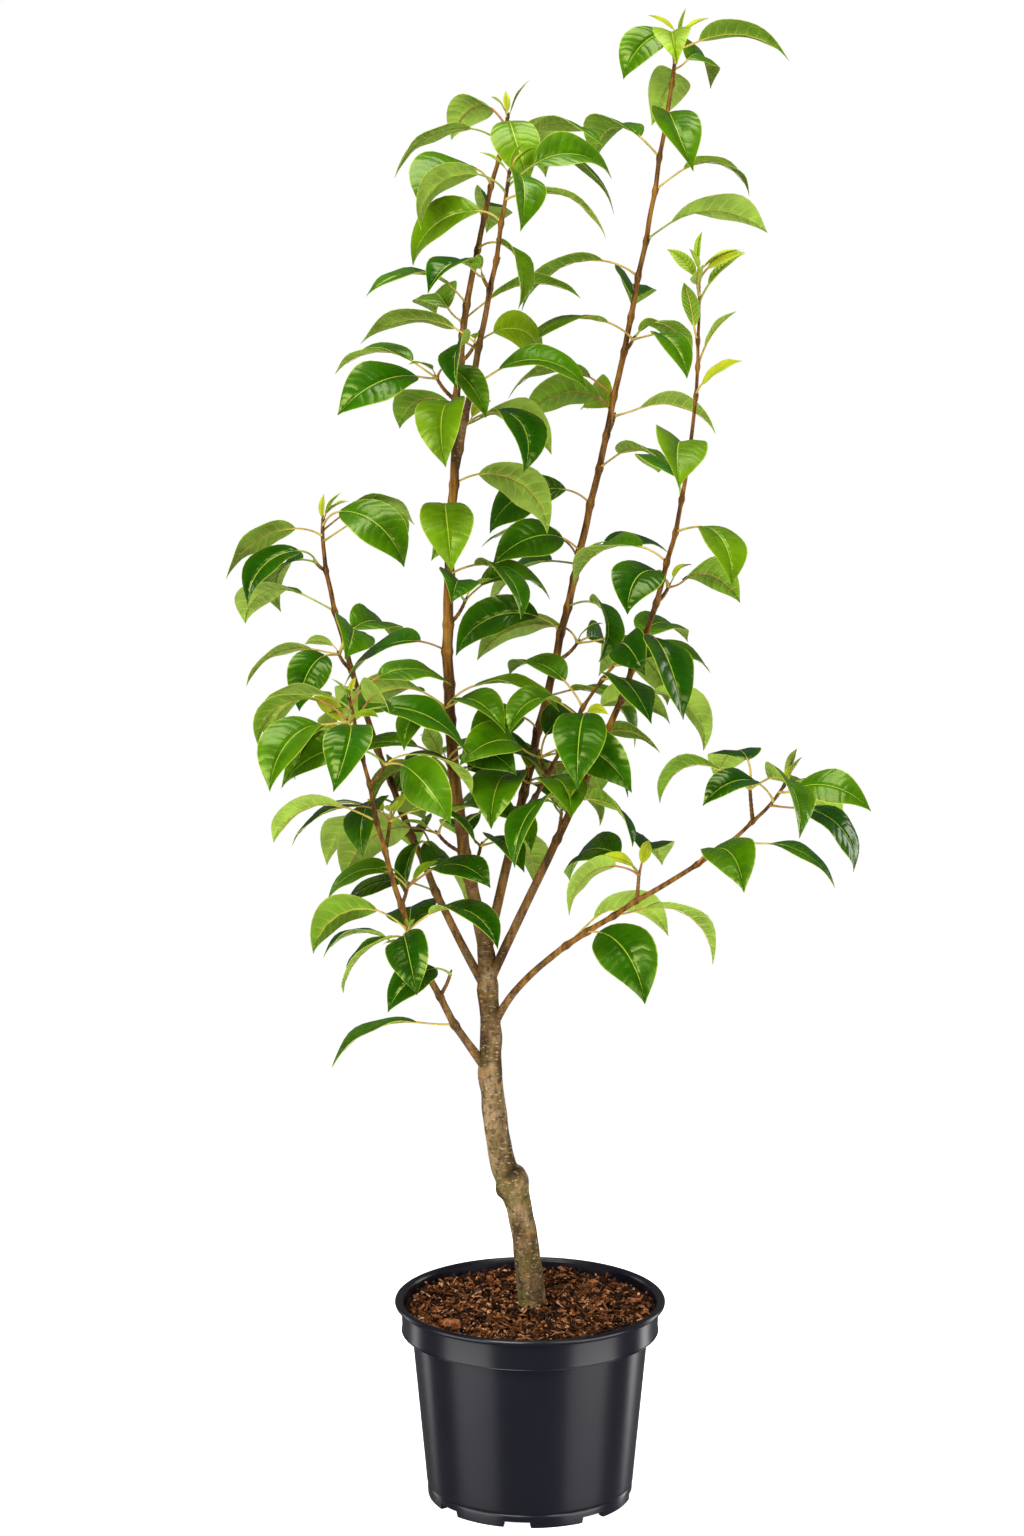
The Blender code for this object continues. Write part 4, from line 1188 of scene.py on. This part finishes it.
def trunk_lumps(way, height):
    """The knuckle of the graft with its crevice, which also gets painted shade, and the lobes of the foot."""
    crevice = lump_at(GRAFT_CREVICE, way, height)
    out = sum(lump_at(lump, way, height) for lump in [*GRAFT_LUMPS, *JOINT_LUMPS]) - crevice
    foot = exp(-(height - SOIL_HEIGHT) / ROOT_FLARE_REACH)
    out += FLARE_LOBES * foot * sin(3 * way.to_2d().angle_signed(Vector((1, 0))) + 0.7)
    return out, crevice / GRAFT_CREVICE[2]


YOUTH_START = 0.44


def make_trunk():
    top = TRUNK_LINE[-1][2]
    count = ceil((top - SOIL_HEIGHT) / TRUNK_FINE_STEP)
    points = [trunk_point(step / count) for step in range(count + 1)]
    radii = [trunk_radius(point.z) for point in points]
    youths = [FOOT_YOUTH * max(0.0, (point.z - YOUTH_START) / (top - YOUTH_START)) for point in points]
    rings = tube_rings(points, ways_along(points), radii, TRUNK_FINE_SIDES)
    grown = barked(rings, points, radii, youths, trunk_lumps)
    skin = Skin()
    skin.add(*loft(rings), 0, grown)
    trunk = skin.build("trunk_with_bark", [bark_finish("trunk_bark_aged", 0.16)], pi)
    place_on(trunk, "trunk_bark", "trunk")


# Pot


def pot_profile():
    """The pot's outline from the middle of its underside, out, up, over the lip and down inside."""
    collar_foot = POT_HEIGHT - LIP_HEIGHT - COLLAR_HEIGHT
    lip_foot = POT_HEIGHT - LIP_HEIGHT
    outline = [
        (CENTRE_PAD_RADIUS, 0.0003),
        (CENTRE_PAD_RADIUS + 0.002, FLOOR_UNDERSIDE),
        (BASE_RING_INNER_RADIUS - 0.001, FLOOR_UNDERSIDE),
        (BASE_RING_INNER_RADIUS, 0.0006),
        (BASE_RING_INNER_RADIUS + 0.0006, 0),
        (BASE_RING_RADIUS - 0.0008, 0),
        (BASE_RING_RADIUS, 0.0009),
        (BASE_RING_RADIUS + 0.0002, 0.0022),
        (BASE_RING_RADIUS + 0.0006, BASE_RING_HEIGHT - GROOVE_HEIGHT - 0.0018),
        (BASE_RING_RADIUS + 0.0006, BASE_RING_HEIGHT - GROOVE_HEIGHT - 0.0006),
        (BODY_FOOT_RADIUS - GROOVE_DEPTH - 0.0004, BASE_RING_HEIGHT - 0.0004),
        (BODY_FOOT_RADIUS - 0.0004, BASE_RING_HEIGHT + GROOVE_HEIGHT - 0.0004),
        (BODY_FOOT_RADIUS + 0.0002, BASE_RING_HEIGHT + GROOVE_HEIGHT + 0.0006),
        (BODY_FOOT_RADIUS + 0.0004, BASE_RING_HEIGHT + GROOVE_HEIGHT + 0.0022),
    ]
    rise = collar_foot - BASE_RING_HEIGHT
    for step in range(1, BODY_STEPS):
        share = step / BODY_STEPS
        radius = BODY_FOOT_RADIUS + (BODY_TOP_RADIUS - BODY_FOOT_RADIUS) * share
        outline.append((radius, BASE_RING_HEIGHT + rise * share))
    outline += [
        (BODY_TOP_RADIUS - 0.0002, collar_foot - 0.0034),
        (BODY_TOP_RADIUS, collar_foot - 0.0012),
        (BODY_TOP_RADIUS + 0.0004, collar_foot - 0.0004),
        (BODY_TOP_RADIUS + 0.0012, collar_foot),
    ]
    for turn in range(-90, 100, 30):
        out = COLLAR_BEAD * cos(radians(turn))
        outline.append((COLLAR_FOOT_RADIUS + out, collar_foot + COLLAR_BEAD * (1 + sin(radians(turn)))))
    outline += [
        (COLLAR_FOOT_RADIUS, collar_foot + 0.0030),
        (COLLAR_TOP_RADIUS - 0.0005, lip_foot - 0.0040),
        (COLLAR_TOP_RADIUS - 0.0003, lip_foot - 0.0016),
        (COLLAR_TOP_RADIUS + 0.0010, lip_foot - 0.0002),
        (LIP_RADIUS - 0.0016, lip_foot),
    ]
    for turn in range(-60, 95, 25):
        across = LIP_BEAD * cos(radians(turn))
        outline.append((LIP_RADIUS - LIP_BEAD + across, POT_HEIGHT - 0.0027 + 0.0027 * sin(radians(turn))))
    outline += [
        (LIP_RADIUS - 0.0034, POT_HEIGHT - 0.0006),
        (LIP_INNER_RADIUS + 0.0018, POT_HEIGHT - 0.0006),
        (LIP_INNER_RADIUS + 0.0008, POT_HEIGHT - 0.0001),
        (LIP_INNER_RADIUS - 0.0002, POT_HEIGHT - 0.0003),
        (LIP_INNER_RADIUS - 0.0012, POT_HEIGHT - 0.0012),
        (COLLAR_TOP_RADIUS - WALL, POT_HEIGHT - 0.003),
        (COLLAR_FOOT_RADIUS - WALL, collar_foot + WALL),
        (BODY_TOP_RADIUS - WALL, collar_foot + WALL),
        (BODY_FOOT_RADIUS - WALL, FLOOR_TOP),
    ]
    return outline


POT_FINE_SIDES = 144
BODY_STEPS = 9
COLLAR_BEAD = 0.0008
LIP_BEAD = 0.0024


def select_none():
    bpy.ops.object.select_all(action="DESELECT")


def make_pot():
    """A ring that is extruded and resized up the pot's outline, with its notches cut out of the base ring."""
    outline = pot_profile()
    radius, height = outline[0]
    select_none()
    bpy.ops.mesh.primitive_circle_add(
        vertices=POT_FINE_SIDES, radius=radius, fill_type="TRIFAN", location=(0, 0, height)
    )
    pot = bpy.context.object
    pot.name = "pot_moulded"
    bpy.ops.object.transform_apply(location=True, rotation=True, scale=True)
    bpy.ops.object.mode_set(mode="EDIT")
    bpy.ops.mesh.select_all(action="SELECT")
    bpy.ops.mesh.region_to_loop()
    for after_radius, after_height in outline[1:]:
        bpy.ops.mesh.extrude_edges_move(TRANSFORM_OT_translate={"value": (0, 0, after_height - height)})
        grown = after_radius / radius
        bpy.ops.transform.resize(value=(grown, grown, 1), center_override=(0, 0, after_height))
        radius, height = after_radius, after_height
    bpy.ops.mesh.edge_face_add()
    bpy.ops.mesh.poke()
    bpy.ops.mesh.select_all(action="SELECT")
    bpy.ops.mesh.normals_make_consistent(inside=False)
    bpy.ops.object.mode_set(mode="OBJECT")
    cut_notches(pot)
    pot.data.materials.clear()
    pot.data.materials.append(plastic_finish())
    pot.data.shade_smooth()
    pot.data.set_sharp_from_angle(angle=radians(32))
    place_on(pot, "pot", "pot")


def cut_notches(pot):
    """Cuts the drain notches with wedges set round the base ring."""
    middle = 0.5 * (BASE_RING_INNER_RADIUS + BASE_RING_RADIUS)
    for number in range(NOTCH_COUNT):
        select_none()
        bpy.ops.mesh.primitive_cube_add(size=1, location=(0, 0, 0))
        wedge = bpy.context.object
        for corner in wedge.data.vertices:
            above = corner.co.z > 0
            slope = -NOTCH_SLOPE if above else NOTCH_SLOPE
            corner.co.x = (1 if corner.co.x > 0 else -1) * (0.5 * NOTCH_WIDTH + slope)
            corner.co.y = -middle + (1 if corner.co.y > 0 else -1) * 0.010
            corner.co.z = NOTCH_HEIGHT if above else -0.01
        wedge.data.transform(Matrix.Rotation(FIRST_NOTCH_TURN + TURN * number / NOTCH_COUNT, 4, "Z"))
        change = pot.modifiers.new("notch", "BOOLEAN")
        change.operation = "DIFFERENCE"
        change.solver = "EXACT"
        change.object = wedge
        select_none()
        bpy.context.view_layer.objects.active = pot
        bpy.ops.object.modifier_apply(modifier=change.name)
        bpy.data.objects.remove(wedge, do_unlink=True)


# Compost

BED_RINGS = 64
BED_SIDES = 120


def bed_height(x, y):
    """The compost's uneven top, under its chips, heaped a little against the wall and the trunk."""
    rough = noise.noise(Vector((x * 55, y * 55, 2.0))) + 0.7 * noise.noise(Vector((x * 170, y * 170, 5.0)))
    foot = Vector((x - TRUNK_LINE[0][0], y - TRUNK_LINE[0][1]))
    heaped = 0.0030 * exp(-((foot.length / 0.030) ** 2)) + RIM_HEAP * (hypot(x, y) / BED_RADIUS) ** 6
    return SOIL_HEIGHT - BED_DEPTH + 0.0034 * rough + heaped


def make_bed():
    points = [(0, 0, bed_height(0, 0))]
    for ring in range(1, BED_RINGS + 1):
        for side in range(BED_SIDES):
            turn = TURN * side / BED_SIDES
            radius = BED_RADIUS * ring / BED_RINGS
            x, y = radius * cos(turn), radius * sin(turn)
            points.append((x, y, bed_height(x, y)))
    faces = [(0, 1 + side, 1 + (side + 1) % BED_SIDES) for side in range(BED_SIDES)]
    for ring in range(BED_RINGS - 1):
        low = 1 + ring * BED_SIDES
        for side in range(BED_SIDES):
            along = (side + 1) % BED_SIDES
            faces.append((low + side, low + BED_SIDES + side, low + BED_SIDES + along, low + along))
    foot = len(points)
    last = 1 + (BED_RINGS - 1) * BED_SIDES
    points += [(x, y, SOIL_HEIGHT - 0.012) for x, y, _ in points[last:]]
    for side in range(BED_SIDES):
        along = (side + 1) % BED_SIDES
        faces.append((last + side, foot + side, foot + along, last + along))
    faces.append(tuple(foot + side for side in reversed(range(BED_SIDES))))
    skin = Skin()
    skin.add(points, faces, 0)
    # the bed's near-black brown is the compost's own colour and also painted shade for the gaps between the
    # chips
    bed = skin.build("compost_bed", [chip_finish("compost_dark", (0.016, 0.007, 0.004))])
    place_on(bed, "compost", "compost")


CHIP_TONES = (
    ("chip_brown", (0.098, 0.033, 0.011)),
    ("chip_russet", (0.265, 0.094, 0.032)),
    ("chip_dark", (0.022, 0.008, 0.003)),
    ("chip_pale", (0.500, 0.255, 0.125)),
)
CHIP_SHARES = (36, 24, 31, 9)
RUSSET = 1
LARGE_CHIP_SIZES = ((0.019, 0.012, 0.005), (0.015, 0.014, 0.006))


def add_chip(skin, rng, centre, size, tilt, slot):
    """A curled flake of bark with uneven corners: three square sections in a row."""
    turn = Matrix.Rotation(rng.uniform(0, TURN), 3, "Z") @ Matrix.Rotation(rng.uniform(-tilt, tilt), 3, "Y")
    turn = turn @ Matrix.Rotation(rng.uniform(-1.2, 1.2), 3, "X")
    curl = rng.uniform(-0.16, 0.26) * size[0]
    rings = []
    for x in (-0.5, 0, 0.5):
        ring = []
        for y, z in ((-0.5, -0.5), (0.5, -0.5), (0.5, 0.5), (-0.5, 0.5)):
            loose = [rng.uniform(0.6, 1.15) * part * span for part, span in zip((x, y, z), size)]
            loose[2] += curl if x == 0 else 0
            ring.append(centre + turn @ Vector(loose))
        rings.append(ring)
    skin.add(*loft(rings), slot)


def scatter(skin, rng, count, lengths, widths, thickness, jitter):
    """Strews chips over the bed."""
    for _ in range(count):
        reach = (BED_RADIUS - 0.5 * lengths[1]) * rng.random() ** 0.5
        turn = rng.uniform(0, TURN)
        x, y = reach * cos(turn), reach * sin(turn)
        length = lengths[0] + (lengths[1] - lengths[0]) * rng.random() ** 1.8
        size = (length, length * rng.uniform(*widths), rng.uniform(*thickness))
        centre = Vector((x, y, bed_height(x, y) + rng.uniform(*jitter)))
        add_chip(skin, rng, centre, size, 0.6, rng.choices(range(len(CHIP_TONES)), CHIP_SHARES)[0])


def make_chips():
    rng = random.Random(4071)
    skin = Skin()
    scatter(skin, rng, CHIP_COUNT, CHIP_LENGTHS, (0.16, 0.52), (0.0006, 0.0022), (0.0006, 0.0062))
    scatter(skin, rng, CRUMB_COUNT, CRUMB_LENGTHS, (0.30, 0.80), (0.0008, 0.0018), (0.0008, 0.0060))
    scatter(skin, rng, FIBRE_COUNT, FIBRE_LENGTHS, (0.05, 0.10), (0.0006, 0.0012), (0.0030, 0.0072))
    for size in LARGE_CHIP_SIZES:
        add_chip(skin, rng, Vector(LARGE_CHIP_PLACE), size, 0.2, RUSSET)
    chips = skin.build("bark_chips", [chip_finish(*tone) for tone in CHIP_TONES], radians(30))
    place_on(chips, "compost", "compost")


# The whole tree


def make_crown():
    """Grows every mass by the seeded rule, then dresses each limb with its bark, leaves and twigs."""
    taken = []
    grown = {}
    for mass in MASSES:
        growth = grow_mass(mass, taken)
        taken += growth.whole
        grown.setdefault(mass.limb, []).append((mass, growth))
    blade_materials = [blade_finish(*tone, *VEINS_ABOVE) for tone in BLADE_TONES[:-1]]
    blade_materials.append(blade_finish(*BLADE_TONES[-1], *VEINS_YOUNG))
    blade_materials += [blade_finish(*tone, *VEINS_BELOW) for tone in UNDER_TONES]
    twig_materials = [twig_finish(*tone) for tone in TWIG_TONES]
    twig_materials.append(bark_finish("bough_bark_smooth", 0.22))
    for name, masses in grown.items():
        dress_limb(name, masses, blade_materials, twig_materials)


def dress_limb(name, masses, blade_materials, twig_materials):
    limb = LIMBS[name]
    blades = Skin()
    twigs = Skin()
    buds = []
    for mass, growth in masses:
        rng = random.Random(f"{SEED} {mass.name} fine")
        for leaf in growth.leaves:
            add_blade(blades, leaf, mass.habit, rng)
            add_petiole(twigs, leaf, rng)
        for line in growth.spur_lines:
            tip_way = (line[2] - line[1]).normalized()
            add_fine_spur(twigs, line, rng)
            add_bud(twigs, line[2], tip_way, BUD_SIZE * 0.8)
            add_leaflets(blades, twigs, line[2], tip_way, SPUR_LEAFLET, rng.choice(SPUR_LEAFLETS), rng)
        for along, root, way, out, radius in growth.nodes:
            buds.append((along, out))
            add_bud(twigs, root + out * (0.8 * radius), (way + out * 0.55).normalized(), BUD_SIZE)
        if mass.rosette:
            tip, way = limb_point(limb, 1), limb_direction(limb, 1)
            add_bud(twigs, tip, way, 1.6 * BUD_SIZE)
            add_leaflets(blades, twigs, tip, way, TIP_LEAFLET, TIP_LEAFLETS, rng)
    nodes = [mass.name for mass, _ in masses]
    bark = limb_skin(limb, buds).build(f"limb_{name}", [bark_finish("bough_bark_smooth", 0.22)], pi)
    place_on(bark, "bough_bark", *([f"bough_{name}"] if name in BOUGHS else []))
    place_on(blades.build(f"leaves_{name}", blade_materials, radians(26)), "foliage", *nodes)
    place_on(twigs.build(f"twigs_{name}", twig_materials, radians(70)), "foliage", *nodes)


# Studio


def make_floor():
    """A round white floor that glows, so that it fades into the white background."""
    select_none()
    bpy.ops.mesh.primitive_circle_add(vertices=96, radius=FLOOR_RADIUS, fill_type="NGON")
    floor = bpy.context.object
    floor.name = "studio_floor"
    floor.visible_glossy = False
    floor.visible_shadow = False
    material, shader = shader_of("studio_white", (0.90, 0.90, 0.90), 0.9, 0.0)
    shader.inputs["Emission Color"].default_value = (1, 1, 1, 1)
    shader.inputs["Emission Strength"].default_value = FLOOR_GLOW
    floor.data.materials.append(material)


# Soft boxes: place, the point they face, width and height, and power
SOFT_BOXES = {
    "front_box": ((-1.3, -3.1, 3.2), (0, 0, 0.8), (2.0, 2.0), 175),
    "fill_box": ((1.8, -3.0, 1.9), (0, 0, 0.8), (1.2, 2.0), 36),
    "left_box": ((-2.0, -1.3, 0.0), (0, 0, 0.0), (2.0, 1.9), 38),
    "right_box": ((2.05, -1.25, 0.0), (0, 0, 0.0), (1.9, 1.9), 43),
    "top_box": ((0, 0.2, 3.4), (0, 0, 0.9), (1.6, 1.6), 60),
    "back_left_box": ((-2.0, 1.3, 0.3), (0, 0, 0.3), (0.5, 2.4), 8),
    "back_right_box": ((2.0, 1.3, 0.3), (0, 0, 0.3), (0.5, 2.4), 16),
}


def add_light(name, place, aim, size, power):
    light = bpy.data.lights.new(name, "AREA")
    light.shape = "RECTANGLE"
    light.size, light.size_y = size
    light.energy = power
    lamp = bpy.data.objects.new(name, light)
    lamp.location = place
    lamp.rotation_euler = (Vector(aim) - Vector(place)).to_track_quat("-Z", "Y").to_euler()
    bpy.context.scene.collection.objects.link(lamp)


def make_air():
    """White behind the tree in the picture, and a softer light from all round on the tree itself."""
    world = bpy.data.worlds.new("studio_air")
    world.use_nodes = True
    nodes = world.node_tree.nodes
    links = world.node_tree.links
    seen = nodes["Background"]
    seen.inputs["Color"].default_value = (1, 1, 1, 1)
    seen.inputs["Strength"].default_value = 1.0
    light = nodes.new("ShaderNodeBackground")
    light.inputs["Color"].default_value = (1, 1, 1, 1)
    light.inputs["Strength"].default_value = AIR_LIGHT
    ray = nodes.new("ShaderNodeLightPath")
    mix = nodes.new("ShaderNodeMixShader")
    links.new(ray.outputs["Is Camera Ray"], mix.inputs["Fac"])
    links.new(light.outputs["Background"], mix.inputs[1])
    links.new(seen.outputs["Background"], mix.inputs[2])
    links.new(mix.outputs["Shader"], nodes["World Output"].inputs["Surface"])
    bpy.context.scene.world = world


def make_studio():
    make_floor()
    make_air()
    for name, settings in SOFT_BOXES.items():
        add_light(name, *settings)


def make_camera():
    data = bpy.data.cameras.new("photo_camera")
    data.lens = CAMERA_LENS
    data.sensor_width = 36
    data.sensor_fit = "AUTO"
    data.clip_end = 100
    camera = bpy.data.objects.new("photo_camera", data)
    camera.location = CAMERA_PLACE
    camera.rotation_euler = (CAMERA_TILT, 0, 0)
    bpy.context.scene.collection.objects.link(camera)
    bpy.context.scene.camera = camera


make_camera()
make_studio()
make_pot()
make_bed()
make_chips()
make_trunk()
make_crown()
bpy.context.scene.view_settings.view_transform = "Standard"
bpy.context.scene.view_settings.look = "None"
